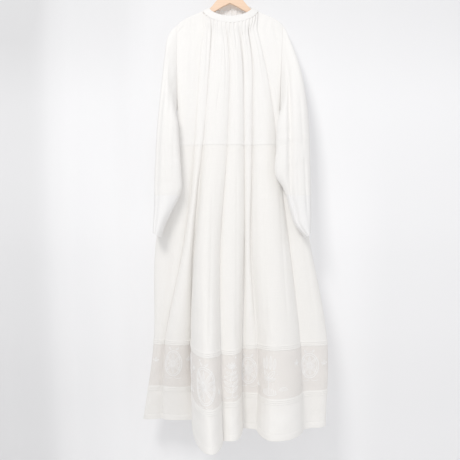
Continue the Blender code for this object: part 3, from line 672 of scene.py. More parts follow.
def upper_grid(body):
    """Lay out one side of the upper part: its top edge, the way down to the seam, and the gathers."""
    total, side = int(body.columns.sum()), int(body.columns[:2].sum())
    column = np.linspace(0, total, total * NECK_STEPS + 1)
    from_end = np.minimum(column, total - column)
    on_shoulder = from_end < side
    ends = add_up(body.columns)
    first_x, last_x = body.across[0, 0], body.across[-1, 0]
    order = 1 if first_x < last_x else -1
    along = np.clip((column - side) / (total - 2 * side), 0, 1)
    top_x, top_y, top_z = neck_point(order * (2 * along - 1), body.facing)
    outer_x = np.where(column < total / 2, first_x, last_x)
    shoulder_x = outer_x + (top_x - outer_x) * np.clip(from_end / side, 0, 1)
    top_x = np.where(on_shoulder, shoulder_x, top_x)
    top_y = np.where(on_shoulder, 0.0, top_y)
    top_z = np.where(on_shoulder, np.interp(np.abs(shoulder_x), SHOULDER_X, SHOULDER_Z), top_z)
    share = (np.linspace(0, 1, UPPER_ROWS) ** ROW_CROWDING)[:, None]
    height = top_z + (SEAM_Z - top_z) * share
    below = top_z - height
    place = np.broadcast_to(np.interp(column, ends, np.arange(len(ends))), height.shape)
    cloth = body_cloth(body, place, height)
    depth_share = np.abs(top_y) / NECK_FORWARD
    settle = ease_in(below / NECK_SETTLE)
    rolled = roll_over(below, ROLL_RADIUS)
    cloth[..., 1] = top_y + (cloth[..., 1] - top_y) * (rolled + (settle - rolled) * depth_share)
    cloth[:, 1:-1, 0] = (top_x + (cloth[..., 0] - top_x) * settle)[:, 1:-1]
    phase = (column - side) / COLUMNS_PER_GATHER
    uneven = 1 + ripple(GATHER_RIPPLE, phase, below, 31)
    size = GATHER_DEPTH * np.exp(-below / GATHER_FADE) * np.minimum(1, GATHER_EDGE * depth_share) * uneven
    wave = -np.cos(TAU * phase) - GATHER_SECOND * np.cos(2 * TAU * phase + GATHER_LEAN)
    cloth += level_outward(cloth) * (size * wave * ~on_shoulder)[..., None]
    free = ease_in(below / DRESSED_BELOW) * ease_in(from_end / DRESSED_COLUMNS)
    cloth = dress_body(body, place, height, cloth, free)
    over_seam = 1 - ease_in((height - SEAM_Z - SEAM_INSIDE) / SEAM_STEP)
    cloth += outward(cloth) * (SEAM_RAISE * over_seam)[..., None]
    return cloth, total * NECK_STEPS // 2


front_grid, _ = upper_grid(FRONT)
wear("upper_front", front_grid, LINEN, "bodice_front")
BACK_UPPER, back_middle = upper_grid(BACK)
for side, half in (("right", BACK_UPPER[:, :back_middle + 1]), ("left", BACK_UPPER[:, back_middle:])):
    wear(f"upper_back_{side}", half, LINEN, f"bodice_back_{side}")

# %% [markdown]
# ## Skirt, net band and hem
#
# The skirt, the net and the hem are three strips of one long fall of cloth, so they share their columns and
# their edges meet. Where a strip has tucks, its rows step out and back in, as stitched tucks do. The hem is
# turned up inside by 20 mm, which makes its edge rounder and more solid than a cut edge.

# %% Hang the skirt from the seam
TUCK_COUNT = 3
TUCK_PITCH = 6.0
TUCK_PROFILE = ((6.0, 0.0), (4.4, 0.5), (2.8, 1.0), (1.2, 1.45), (0.6, 1.4), (0.2, 0.7), (0.0, 0.0))
FOLD_STEP = 3.6
FOLD_SAMPLES = 60
SKIRT_ROW = 6.5
NET_ROW = 6.0
HEM_ROW = 5.0
HEM_TURN = 20.0
HEM_EDGE_ROWS = (22.5, 21.2, 20.0, 18.8, 4.5, 2.8, 1.5)
HEM_THICK = 1.9
HEM_FILL = 0.45
HEM_DENT = 0.5
HEM_DENT_WIDTH = 1.6
HEM_SWELL = 0.7
HEM_SWELL_WIDTH = 2.2


def fall_places(body):
    """Share out columns between the fold lines by the length of each halfway down the hem border."""
    places = []
    for stretch in range(len(body.kinds) - 1):
        fine = np.linspace(stretch, stretch + 1, FOLD_SAMPLES)
        length = run_along(body_cloth(body, fine, np.full_like(fine, (LACE_FOOT_Z + HEM_Z) / 2)))[-1]
        places.append(np.linspace(stretch, stretch + 1, max(4, math.ceil(length / FOLD_STEP)) + 1)[:-1])
    return np.concatenate(places + [[len(body.kinds) - 1.0]])


def tuck_raise(height, start):
    """Give how far rows stand out for tucks that start at a height."""
    raised = np.zeros_like(height)
    for tuck in range(TUCK_COUNT):
        above_foot = height - (start - (tuck + 1) * TUCK_PITCH)
        steps = np.array(TUCK_PROFILE)[::-1]
        inside = (above_foot >= 0) & (above_foot < TUCK_PITCH)
        raised = np.where(inside, np.interp(above_foot, steps[:, 0], steps[:, 1]), raised)
    return raised


def strip_rows(top, foot, step, tucks_at=None):
    """List the heights of a strip's rows, with more of them where it has tucks."""
    rows = list(np.linspace(top, foot, max(3, math.ceil((top - foot) / step) + 1)))
    if tucks_at is not None:
        low = tucks_at - TUCK_COUNT * TUCK_PITCH
        rows = [row for row in rows if not low < row < tucks_at]
        for tuck in range(TUCK_COUNT):
            tuck_foot = tucks_at - (tuck + 1) * TUCK_PITCH
            rows += [tuck_foot + above for above, _ in TUCK_PROFILE[:-1]] + [tuck_foot + 0.02]
    return np.array(sorted(set(rows), reverse=True))


def strip_grid(body, rows, tucks_at=None):
    """Work out one strip of the fall."""
    places = fall_places(body)
    height = np.broadcast_to(rows[:, None], (len(rows), len(places)))
    place = np.broadcast_to(places, height.shape)
    points = dress_body(body, place, height, body_cloth(body, place, height))
    if tucks_at is not None:
        points = points + level_outward(points) * tuck_raise(height, tucks_at)[..., None]
    return points


def turned_hem(points):
    """Turn the last row of a grid up inside: half round the edge, then up behind the cloth."""
    inward = -level_outward(points)[-1]
    turn = np.linspace(0, math.pi, 6)[1:, None, None]
    down = np.array((0, 0, HEM_THICK / 2)) * np.sin(turn)
    bend = points[-1] + inward * (HEM_THICK / 2 * (1 - np.cos(turn))) - down
    return np.concatenate([points, bend, points[-2:-6:-1] + inward * HEM_THICK])


def hem_dent(points, rows, foot):
    """Press in the stitched line at the top of the turned hem, and fill the cloth out below it."""
    above = rows - foot
    shift = HEM_FILL * (above < HEM_TURN) - HEM_DENT * np.exp(-((above - HEM_TURN) / HEM_DENT_WIDTH) ** 2)
    shift += HEM_SWELL * np.exp(-(above / HEM_SWELL_WIDTH) ** 2)
    return points + outward(points) * shift[:, None, None]


SKIRTS, NETS, HEMS = {}, {}, {}
LACE_TUCKS_AT = LACE_TOP_Z + TUCK_COUNT * TUCK_PITCH + 1
HEM_TUCKS_AT = LACE_FOOT_Z - 1
for body, side in ((FRONT, "front"), (BACK, "back")):
    skirt_rows = strip_rows(SEAM_Z, LACE_TOP_Z, SKIRT_ROW, LACE_TUCKS_AT)
    SKIRTS[side] = strip_grid(body, skirt_rows, LACE_TUCKS_AT)
    upper = "bodice_front" if side == "front" else "bodice_back_left"
    wear(f"skirt_{side}_cloth", SKIRTS[side], SKIRT_LINEN, f"skirt_{side}")
    band_rows = strip_rows(LACE_TOP_Z, LACE_FOOT_Z, NET_ROW)
    NETS[side] = strip_grid(body, band_rows)
    wear(f"net_{side}_cloth", NETS[side], NET, f"lace_{side}")
    hem_rows = strip_rows(LACE_FOOT_Z, HEM_Z + 0.4, HEM_ROW, HEM_TUCKS_AT)
    hem_rows = np.array(sorted({*hem_rows, *(HEM_Z + np.array(HEM_EDGE_ROWS))}, reverse=True))
    HEMS[side] = hem_dent(strip_grid(body, hem_rows, HEM_TUCKS_AT), hem_rows, HEM_Z)
    wear(f"hem_{side}_cloth", turned_hem(HEMS[side]), SKIRT_LINEN, f"hem_{side}")

# %% [markdown]
# ## Sleeves and cuffs
#
# A sleeve is a stack of rings, each flattened and with a groove down its front where the cloth folds in. A
# smooth curve runs down through the same place on each ring. The cuff panel is the end of the same tube in
# finer net, and its edge is turned in. Across the elbow the cloth sags into soft sideways creases.

# %% Name the rings of both sleeves
Ring = namedtuple("Ring", "left_x left_z left_out right_x right_z right_out front back groove groove_at")
LEFT_RINGS = (
    Ring(-200, -212, 2, -186, -495, 4, 25, -16, 0, 0.30),
    Ring(-216, -240, 6, -187, -500, 14, 36, -12, 1, 0.26),
    Ring(-226, -300, 14, -186, -509, 28, 50, -3, 3, 0.22),
    Ring(-233, -370, 24, -183, -524, 42, 66, 8, 5, 0.20),
    Ring(-240, -450, 38, -179, -545, 55, 82, 20, 7, 0.17),
    Ring(-247, -540, 50, -176, -577, 60, 92, 28, 8, 0.15),
    Ring(-253, -640, 58, -171, -650, 62, 96, 30, 8, 0.13),
    Ring(-256, -732, 60, -165, -732, 62, 97, 30, 8, 0.12),
    Ring(-257, -770, 61, -164, -770, 62, 98, 30, 8, 0.12),
    Ring(-257, -797, 62, -172, -797, 62, 99, 30, 7, 0.14),
    Ring(-258, -850, 65, -198, -850, 65, 108, 30, 6, 0.20),
    Ring(-260, -895, 70, -220, -898, 70, 116, 30, 5, 0.26),
    Ring(-260, -920, 72, -233, -938, 74, 122, 30, 3, 0.34),
)
RIGHT_RINGS = (
    Ring(176, -495, 5, 194, -211, 2, 25, -16, 0, 0.70),
    Ring(176, -501, 17, 206, -240, 6, 38, -12, 3, 0.62),
    Ring(172, -510, 32, 225, -292, 16, 54, -3, 9, 0.55),
    Ring(167, -524, 46, 241, -345, 26, 70, 8, 14, 0.47),
    Ring(161, -546, 58, 257, -425, 40, 86, 22, 16, 0.42),
    Ring(158, -577, 64, 268, -525, 52, 98, 32, 16, 0.40),
    Ring(157, -645, 66, 272, -640, 60, 102, 35, 16, 0.39),
    Ring(157, -735, 66, 274, -735, 62, 102, 35, 16, 0.39),
    Ring(178, -768, 66, 275, -768, 62, 103, 34, 14, 0.27),
    Ring(190, -797, 65, 276, -797, 62, 104, 34, 12, 0.20),
    Ring(204, -850, 66, 276, -850, 65, 110, 34, 10, 0.24),
    Ring(220, -897, 70, 275, -895, 70, 118, 34, 7, 0.22),
    Ring(253, -938, 74, 272, -923, 72, 122, 34, 3, 0.30),
)
CUFF_RING = 9
FRONT_STEPS = 12
BACK_STEPS = 10
GROOVE_STEP = 5
GROOVE_WIDTH = 0.09
AROUND = 132
SLEEVE_ROW = 3.4
FRONT_FULLNESS = 0.375
BACK_FULLNESS = 0.75
SLEEVE_RIPPLES = ((30, 150, 0.35), (14, 190, 0.9))
SAGS_ROUND = 6
SAG_LENGTH = 23
SAG_DEPTH = 1.1
SAG_WANDER = 0.4
SAG_WANDER_LENGTH = 31
ELBOW_DOWN = 330
ELBOW_REACH = 120
CALM_AT_ARMHOLE = 30
CUFF_SEAM_DENT = 0.7
CUFF_SEAM_WIDTH = 1.5
ARMHOLE_LAP = 0.3
LEFT_CREASES = (
    Crease(-214, -300, -196, -470, 7.0, 2.2),
    Crease(-202, -420, -206, -640, 5.0, 2.0),
    Crease(-222, -590, -219, -870, 5.0, 1.8),
    Crease(-191, -560, -188, -760, 5.0, 1.6),
)
RIGHT_CREASES = (
    Crease(236, -420, 248, -660, 5.0, 2.0),
    Crease(250, -640, 262, -890, 5.0, 3.0),
    Crease(226, -640, 232, -860, 5.0, 1.8),
    Crease(182, -540, 178, -700, 4.5, 1.6),
)
print("rings:", len(LEFT_RINGS), "and", len(RIGHT_RINGS))

# %% Loft the sleeves and their cuffs


def front_run(step, groove_at):
    """Share out a ring's front: slow at both edges and at the groove, by quarter turns of a sine."""
    first = groove_at * (1 - np.cos(math.pi / 2 * np.clip(step / GROOVE_STEP, 0, 1)))
    past = np.clip((step - GROOVE_STEP) / (FRONT_STEPS - GROOVE_STEP), 0, 1)
    return first + (1 - groove_at) * np.sin(math.pi / 2 * past)


def ring_loop(ring, step):
    """Go round one ring: a flattened arch with a groove in front, and half a flat oval behind."""
    left = np.array((ring.left_x, -ring.left_out, ring.left_z), float)
    right = np.array((ring.right_x, -ring.right_out, ring.right_z), float)
    middle_out = (ring.left_out + ring.right_out) / 2
    in_front = step < FRONT_STEPS
    run = front_run(step, ring.groove_at)
    fullness = np.maximum(4 * run * (1 - run), 0) ** FRONT_FULLNESS
    dip = ring.groove * np.exp(-((run - ring.groove_at) / GROOVE_WIDTH) ** 2)
    bulge_front = -(ring.front - middle_out - dip) * fullness
    turn = math.pi * np.clip((step - FRONT_STEPS) / BACK_STEPS, 0, 1)
    bulge_back = (middle_out - ring.back) * np.maximum(np.sin(turn), 0) ** BACK_FULLNESS
    run = np.where(in_front, run, (1 + np.cos(turn)) / 2)
    points = left + (right - left) * run[:, None]
    points[:, 1] += np.where(in_front, bulge_front, bulge_back)
    return points


def armhole_loop(hole, outside, groove_at, step):
    """Go round an armhole in the same order as the rings."""
    in_front = step < FRONT_STEPS
    run = np.where(in_front, front_run(step, groove_at),
                   (1 - np.cos(math.pi * np.clip((step - FRONT_STEPS) / BACK_STEPS, 0, 1))) / 2)
    down = in_front if outside < 0 else ~in_front
    start = np.where(down, hole.top_z, hole.foot_z)
    end = np.where(down, hole.foot_z, hole.top_z)
    height = start + (end - start) * run
    across, half = armhole_edge(hole, height)
    half = half * roll_over(hole.top_z - height, ROLL_RADIUS)
    return np.stack([across + outside * ARMHOLE_LAP, np.where(in_front, -1, 1) * half, height], axis=-1)


def loft(loops, spacing):
    """Run a smooth cubic down through each column of the loops, with rows a spacing apart."""
    knots = add_up(np.linalg.norm(np.diff(loops, axis=0), axis=-1).mean(axis=1))
    rows = np.concatenate([np.linspace(a, b, max(2, round((b - a) / spacing)) + 1)[:-1]
                           for a, b in zip(knots[:-1], knots[1:])] + [knots[-1:]])
    slopes = np.gradient(loops, knots, axis=0)
    first = np.clip(np.searchsorted(knots, rows, side="right") - 1, 0, len(knots) - 2)
    span = (knots[first + 1] - knots[first])[:, None, None]
    t = (rows - knots[first])[:, None, None] / span
    return cubic(loops[first], loops[first + 1], slopes[first], slopes[first + 1], t, span), knots, rows


def sleeve_dress(points, rows, creases, seed):
    """Add ripples round and down a sleeve, sideways sags at the elbow, and the listed creases."""
    steps = np.linalg.norm(np.roll(points, -1, 1) - points, axis=-1)
    around = np.cumsum(steps, axis=1) - steps
    share = around / steps.sum(axis=1, keepdims=True)
    down = np.broadcast_to(rows[:, None], share.shape)
    shift = sum(soft_noise(share * often, down / length, seed + number, often) * depth
                for number, (often, length, depth) in enumerate(SLEEVE_RIPPLES))
    wander = SAG_WANDER * np.sin(down / SAG_WANDER_LENGTH)
    sag = soft_noise(share * SAGS_ROUND + wander, down / SAG_LENGTH, seed + 2, SAGS_ROUND)
    shift += sag * np.exp(-((down - ELBOW_DOWN) / ELBOW_REACH) ** 2) * SAG_DEPTH
    shift -= crease_depth(creases, points) * (points[..., 1] < points[..., 1].mean(axis=1)[:, None])
    free = ease_in(rows / CALM_AT_ARMHOLE)[:, None]
    return points + outward(points, closed=True) * (shift * free)[..., None]


step = np.arange(AROUND) * (FRONT_STEPS + BACK_STEPS) / AROUND
SLEEVES = {}
for side, hole, rings, outside, creases, seed in (
        ("left", LEFT_ARMHOLE, LEFT_RINGS, -1, LEFT_CREASES, 41),
        ("right", RIGHT_ARMHOLE, RIGHT_RINGS, 1, RIGHT_CREASES, 51)):
    loops = np.array([armhole_loop(hole, outside, rings[0].groove_at, step)]
                     + [ring_loop(ring, step) for ring in rings])
    points, knots, rows = loft(loops, SLEEVE_ROW)
    points = sleeve_dress(points, rows, creases, seed)
    split = int(np.argmin(np.abs(rows - knots[CUFF_RING + 1])))
    normal = outward(points, closed=True)
    seam = np.exp(-((rows - rows[split]) / CUFF_SEAM_WIDTH) ** 2)
    points = points - normal * (CUFF_SEAM_DENT * seam)[:, None, None]
    closed_points = np.concatenate([points, points[:, :1]], axis=1)
    SLEEVES[side] = closed_points, split
    wear(f"sleeve_{side}_cloth", closed_points[:split + 1], LINEN, f"sleeve_{side}")
    wear(f"cuff_{side}_cloth", turned_hem(closed_points[split:]), CUFF_NET, f"cuff_{side}")

# %% [markdown]
# ## Neckband
#
# The band is a strip folded over itself, so it is thick and its edges are round. Its path is the same oval as
# the neck edge, and at the back one end laps over the other under a button. A row of stitches pulls in both
# of its edges a little, so the band shows small dents between them.

# %% Fold the neckband
BAND_HEIGHT = 24.0
BAND_WALL = 2.4
BAND_LAP = 0.16
BAND_SEAT = -0.4
BAND_TAPER = 0.0006
BAND_LEAN = math.radians(64)
BAND_END_RISE = 2.2
BAND_STEP = 1.6
BAND_LAP_LENGTH = 19.0
BAND_LAP_RISE = 9.0
BAND_PUCKER = Ripple(4.5, 8, 1.0)
BAND_WAVE = Ripple(23, 40, 0.4)
BAND_END = (0.2, 0.2, 0.97)
STITCH_INSET = 2.6
STITCH_DENT = 0.7
STITCH_PINCH = 0.4
PUCKER_BETWEEN = 0.12
PUCKER_AT_STITCH = 0.3
BAND_STANDS_OUT = 0.5
LAP_GAP = 0.3
LEG_STEPS = 900


def band_point(share, facing, lift):
    """Give points of the band at a lift above its lower edge; at its ends it leans in over the hanger."""
    across, back, height = neck_point(share, facing)
    turn = BAND_LEAN * np.abs(share) ** 3
    rise = BAND_END_RISE * np.abs(share) ** 3
    return np.stack([across - np.sign(share) * np.sin(turn) * lift, back * (1 - BAND_TAPER * lift),
                     height + np.cos(turn) * lift + rise], axis=-1)


def band_course():
    """List even steps from the centre back round the front and over the band's own start."""
    legs = ((0, -1, -1), (-1, 1, 1), (1, 0, -1), (0, -BAND_LAP, -1))
    share = np.concatenate([np.linspace(start, end, LEG_STEPS)[:-1] for start, end, _ in legs])
    facing = np.repeat([leg[2] for leg in legs], LEG_STEPS - 1)
    travelled = run_along(band_point(share, facing, BAND_HEIGHT / 2))
    even = np.arange(0, travelled[-1], BAND_STEP)
    nearest = np.clip(np.searchsorted(travelled, even), 0, len(share) - 1)
    return share[nearest], facing[nearest], even


def band_section():
    """Go round the folded strip: outside going down, round the lower edge, inside going up, round the top."""
    turn = np.linspace(0, math.pi, 7)
    radius = BAND_WALL / 2
    down = np.linspace(BAND_HEIGHT - radius, BAND_SEAT + radius, 22)
    lift = np.concatenate([down[:-1], BAND_SEAT + radius - radius * np.sin(turn), down[::-1][1:],
                           BAND_HEIGHT - radius + radius * np.sin(turn[1:])])
    out = np.concatenate([np.full(21, radius), radius * np.cos(turn), np.full(21, -radius),
                          -radius * np.cos(turn[1:])])
    return lift, out


def fold_band():
    """Sweep the section along the course, with dents at its stitching and puckers between them."""
    share, facing, travelled = band_course()
    lift, out = band_section()
    middle = band_point(share[None], facing[None], lift[:, None])
    lower, upper = band_point(share, facing, 0.0), band_point(share, facing, BAND_HEIGHT)
    normal = unit(np.cross(unit(lower - upper), unit(np.gradient(middle.mean(axis=0), axis=0))))
    lap = ease_in((travelled - travelled[-1] + BAND_LAP_LENGTH) / BAND_LAP_RISE)
    from_edge = np.minimum(lift - BAND_SEAT, BAND_HEIGHT - lift)
    dent = np.exp(-((from_edge - STITCH_INSET) / STITCH_DENT) ** 2)
    pucker = ripple(BAND_PUCKER, travelled[None], lift[:, None], 61)
    pucker = pucker * (PUCKER_BETWEEN + PUCKER_AT_STITCH * dent[:, None]) * np.sign(out)[:, None]
    wave = ripple(BAND_WAVE, travelled[None], lift[:, None], 62)
    thick = out[:, None] * (1 - STITCH_PINCH * dent[:, None])
    shift = BAND_STANDS_OUT - BAND_WALL / 2 + lap * (BAND_WALL + LAP_GAP) + thick + wave + pucker
    band = middle + normal[None] * shift[..., None]
    first, last = (end.mean(axis=0) + (end - end.mean(axis=0)) * BAND_END
                   for end in (band[:, [0]], band[:, [-1]]))
    band = np.concatenate([first, band, last], axis=1)
    return np.concatenate([band, band[:1]], axis=0)


BAND = fold_band()
wear("neckband_cloth", BAND, LINEN, "neckband")

# %% [markdown]
# ## Embroidery on the net
#
# The net carries rings and sprays in turn, worked in thick white thread. A motif is a list of flat curves in
# millimetres: ovals, petals, stems, leaves and dots. Each curve becomes a thin tube that lies on the net, so
# the motif follows every fold. Real satin stitch has threads side by side across the line; a bump gives that.

# %% Draw the motifs flat
Curve = namedtuple("Curve", "points radius")


def oval(across, up, wide, high, radius, start=0.0, end=360.0):
    """Draw an oval or a part of it: cosine across and sine up."""
    angle = np.radians(np.linspace(start, end, max(8, int(abs(end - start) * (wide + high) / 260))))
    return Curve(np.stack([across + wide / 2 * np.cos(angle), up + high / 2 * np.sin(angle)], axis=1), radius)


def bend(points, radius):
    """Draw a smooth line through points: a cubic with slopes from the neighbours."""
    knots = np.array(points, float)
    slopes = np.gradient(knots, axis=0)
    line = cubic(knots[:-1], knots[1:], slopes[:-1], slopes[1:], np.linspace(0, 1, 7)[:-1, None, None])
    return Curve(np.concatenate([line.transpose(1, 0, 2).reshape(-1, 2), knots[-1:]]), radius)


def leaf(across, up, angle, length, width, radius=0.75):
    """Draw a leaf: two arcs that meet at its base and its tip, and a vein between them."""
    along = np.linspace(0, 1, 12)
    bow = width / 2 * np.sin(math.pi * along ** 0.85)
    run = np.concatenate([along, along[::-1]]) * length
    side = np.concatenate([bow, -bow[::-1]])
    turn = math.radians(angle)
    outline = np.stack([across + run * math.cos(turn) - side * math.sin(turn),
                        up + run * math.sin(turn) + side * math.cos(turn)], axis=1)
    tip = (across + 0.8 * length * math.cos(turn), up + 0.8 * length * math.sin(turn))
    return [Curve(outline, radius), bend([(across, up), ((across + tip[0]) / 2, (up + tip[1]) / 2), tip],
                                         radius * 0.9)]


def dot(across, up, radius=1.5):
    """Draw a small padded dot as a tight oval of thick thread."""
    return oval(across, up, radius * 1.1, radius * 1.3, radius * 0.8)


def ring_motif(wide, high, petals):
    """Draw a ring: two ovals joined by rungs, petals round a small heart, and dots between the petals."""
    curves = [oval(0, 0, wide, high, 1.25), oval(0, 0, wide - 13, high - 14, 0.9)]
    rungs = int((wide + high) / 4.6)
    for number in range(rungs):
        angle = TAU * number / rungs
        x, y = math.cos(angle), math.sin(angle)
        curves.append(Curve(np.linspace(((wide / 2 - 6.3) * x, (high / 2 - 6.8) * y),
                                        (wide / 2 * x, high / 2 * y), 4), 0.55))
    for number in range(petals):
        turn = 360 * number / petals + 90
        reach = 0.5 * ((wide - 22) * abs(math.cos(math.radians(turn)))
                       + (high - 24) * abs(math.sin(math.radians(turn))))
        base = (5 * math.cos(math.radians(turn)), 6 * math.sin(math.radians(turn)))
        curves += leaf(*base, turn, reach - 6, 8.5, 0.85)
        between = math.radians(turn + 180 / petals)
        curves.append(dot((wide / 2 - 14) * math.cos(between), (high / 2 - 17) * math.sin(between), 1.3))
    curves += [oval(0, 0, 7, 9, 0.9), dot(0, 0, 1.6)]
    for side in (-1, 1):
        curves.append(oval(side * 17, -high / 2 - 3, 26, 13, 0.8, 200, 340))
        curves += leaf(side * 9, high / 2 + 3, 90 - side * 48, 13, 5.5)
        curves.append(dot(side * 5, high / 2 + 6))
    return curves


def spray_motif(high, lean):
    """Draw a spray: a bent stem with pairs of leaves, two curls and a bud of five petals on top."""
    top = high / 2
    curves = [bend([(0, -top), (2 * lean, -top / 2), (-2 * lean, 0), (lean, top / 2), (0, top - 20)], 0.95)]
    for place, length in ((-0.72, 30), (-0.38, 32), (-0.04, 28), (0.28, 21)):
        for side in (-1, 1):
            curves += leaf(side * 1.2, place * top, 90 - side * (58 + 6 * place), length, 10.5, 0.9)
    for side in (-1, 1):
        curves.append(oval(side * 15, -top + 3, 22, 12, 0.85, 180, 360))
        curves.append(oval(side * 15, -top + 3, 11, 7, 0.75, 180, 360))
        curves.append(dot(side * 27, 2, 1.8))
        curves.append(dot(side * 21, top - 20, 1.8))
    for turn in (28, 59, 90, 121, 152):
        curves += leaf(0, top - 20, turn, 20, 7.5, 0.85)
    curves.append(dot(0, top - 20, 2.2))
    return curves


def pot_motif(high):
    """Draw a flower pot: four upright buds over a heart, a short stem, and a foot of upright strokes."""
    top = high / 2
    curves = [bend([(0, top - 62), (0.8, top - 80), (0, 22 - top)], 1.1)]
    for across, length in ((-24, 38), (-8.5, 46), (8.5, 46), (24, 38)):
        curves += leaf(across * 0.8, top - 48, 90 - across * 0.35, length, 9.5, 0.9)
    for side in (-1, 1):
        curves += leaf(0, top - 76, 90 - side * 42, 34, 16, 1.0)
        curves += leaf(side * 2, top - 82, 90 - side * 74, 24, 9, 0.8)
        curves.append(dot(side * 31, top - 62, 1.8))
        curves.append(dot(side * 15, top - 92, 1.6))
    for across in np.arange(-26, 27, 6.5):
        reach = 24 - 0.35 * abs(across)
        stroke = [(across, -top), (across * 0.97, reach / 2 - top), (across * 0.9, reach - top)]
        curves.append(bend(stroke, 1.0))
    curves.append(bend([(-29, 3 - top), (-14, -top - 1), (0, -top - 2), (14, -top - 1), (29, 3 - top)], 0.9))
    return curves


def arcs_motif():
    """Draw three arcs, one inside the other."""
    return [oval(0, -8, wide, wide * 0.9, 0.9, 20, 160) for wide in (14, 24, 34)]


def sprig_motif():
    """Draw a small sprig of three leaves and two dots."""
    curves = leaf(0, 0, 90, 17, 7) + leaf(0, 0, 35, 14, 6) + leaf(0, 0, 145, 14, 6)
    return curves + [dot(-7, -4), dot(7, -4)]


# %% Lay the motifs on the net
THREAD_SIDES = 6
THREAD_STEP = 1.5
THREAD_FLATNESS = 0.75
THREAD_TIP = 0.35
THREAD_LIFT = 0.35
THREAD_ROUND = 0.003
Motif = namedtuple("Motif", "kind along down")
FRONT_MOTIFS = (
    Motif("sprig", -478, 62), Motif("ring", -400, 66), Motif("sprig", -342, 58), Motif("pot", -262, 80),
    Motif("arcs", -206, 128), Motif("sprig", -172, 52), Motif("dot", -118, 10), Motif("tall ring", -98, 86),
    Motif("sprig", -26, 118), Motif("spray", 60, 82), Motif("dot", 76, 9), Motif("ring", 178, 76),
    Motif("sprig", 222, 126), Motif("pot", 284, 78), Motif("arcs", 336, 126), Motif("sprig", 396, 52),
    Motif("round ring", 474, 68), Motif("sprig", 526, 66),
)
BACK_MOTIFS = (
    Motif("sprig", -440, 66), Motif("pot", -378, 80), Motif("sprig", -318, 112), Motif("ring", -256, 74),
    Motif("arcs", -196, 126), Motif("spray", -128, 82), Motif("sprig", -62, 110), Motif("tall ring", 4, 84),
    Motif("sprig", 70, 58), Motif("pot", 132, 80), Motif("arcs", 190, 126), Motif("ring", 252, 74),
    Motif("sprig", 316, 60), Motif("spray", 378, 82), Motif("sprig", 440, 112),
)
KINDS = {"ring": ring_motif(62, 94, 8), "tall ring": ring_motif(88, 116, 10), "pot": pot_motif(128),
         "round ring": ring_motif(62, 86, 8), "spray": spray_motif(118, 2.0), "sprig": sprig_motif(),
         "arcs": arcs_motif(), "dot": [dot(0, 0, 2.6)]}


def fall_of(points):
    """Measure how far down a grid of cloth each of its rows is."""
    return -grid_map(points)[:, 0, 1] / MM


def on_cloth(points, along, down):
    """Find points of a grid of cloth, and its outward directions there, at distances along and down it."""
    middle = len(points) // 2
    travelled = grid_map(points)[middle, :, 0] / MM
    fallen = fall_of(points)
    column = np.clip(np.interp(along, travelled, np.arange(len(travelled))), 0, len(travelled) - 1.001)
    row = np.clip(np.interp(down, fallen, np.arange(len(fallen))), 0, len(fallen) - 1.001)
    c, r = column.astype(int), row.astype(int)
    fc, fr = (column - c)[:, None], (row - r)[:, None]

    def blend(values):
        """Blend the four grid values round each point."""
        return ((values[r, c] * (1 - fc) + values[r, c + 1] * fc) * (1 - fr)
                + (values[r + 1, c] * (1 - fc) + values[r + 1, c + 1] * fc) * fr)

    return blend(points), unit(blend(outward(points)))


def thread_tube(line, normal, radius):
    """Sweep a flattened ring of points along a line on the cloth."""
    ahead = unit(np.gradient(line, axis=0))
    side = unit(np.cross(ahead, normal))
    turn = np.linspace(0, TAU, THREAD_SIDES + 1)
    thin = np.ones(len(line))
    thin[[0, -1]] = THREAD_TIP
    reach = radius * thin[:, None, None]
    return (line[:, None] + side[:, None] * np.cos(turn)[None, :, None] * reach
            + normal[:, None] * (np.sin(turn)[None, :, None] * THREAD_FLATNESS + THREAD_LIFT) * reach)


def join_tubes(name, tubes, material, slot):
    """Join tubes of many lengths into one mesh, with a map of metres along and around each."""
    points, faces, places, first = [], [], [], 0
    for tube in tubes:
        rows, columns = tube.shape[:2]
        faces.append(grid_faces(rows, columns)[:, [0, 3, 2, 1]] + first)
        run = run_along(tube.mean(axis=1)) * MM
        around = np.linspace(0, THREAD_ROUND, columns)
        places.append(np.stack([np.repeat(run, columns), np.tile(around, rows)], axis=-1))
        points.append(tube.reshape(-1, 3))
        first += rows * columns
    points, faces, places = map(np.concatenate, (points, faces, places))
    add_piece(name, points * MM, faces, material, slot, places)
    print(name, len(tubes), "threads,", len(faces) * 2, "triangles")


def resample(points, step):
    """Space a flat line evenly."""
    run = run_along(points)
    even = np.linspace(0, run[-1], max(3, int(run[-1] / step) + 1))
    return np.stack([np.interp(even, run, axis) for axis in points.T], axis=1)


def embroider(name, cloth, motifs, material):
    """Lay every curve of the motifs on the cloth as thread."""
    tubes = []
    for motif in motifs:
        for curve in KINDS[motif.kind]:
            flat = resample(curve.points, THREAD_STEP)
            line, normal = on_cloth(cloth, motif.along + flat[:, 0], motif.down - flat[:, 1])
            tubes.append(thread_tube(line, normal, curve.radius))
    join_tubes(name, tubes, material, "net")


def satin_thread(name, bright, shade):
    """Finish satin stitch: fine ridges across the line, painted shade between, a soft sheen, slightly uneven
    white.
    """
    finish = Finish(name, bright, 0.6, Sheen_Weight=0.2, Sheen_Roughness=0.4)
    vector = finish.cloth_map()
    u, v, _ = finish.axes(vector)
    ridges = (u * (TAU / 0.0007) + v * 900.0).math("SINE", 0.0) * 0.5 + 0.5
    patches = finish.stretched_noise(vector, (300, 300, 1), 2.0)
    # The low parts of the ridges are coloured darker: painted shade in the grooves between threads.
    finish.colour_by(patches * 0.7 + ridges * 0.3, shade, bright)
    finish.bump(ridges, 0.0001)
    finish.feed("Roughness", patches * 0.2 + 0.5)
    return finish.material


THREAD = satin_thread("satin_thread", (0.95, 0.945, 0.935), (0.88, 0.87, 0.86))
for side, motifs in (("front", FRONT_MOTIFS), ("back", BACK_MOTIFS)):
    embroider(f"embroidery_{side}", NETS[side], motifs, THREAD)

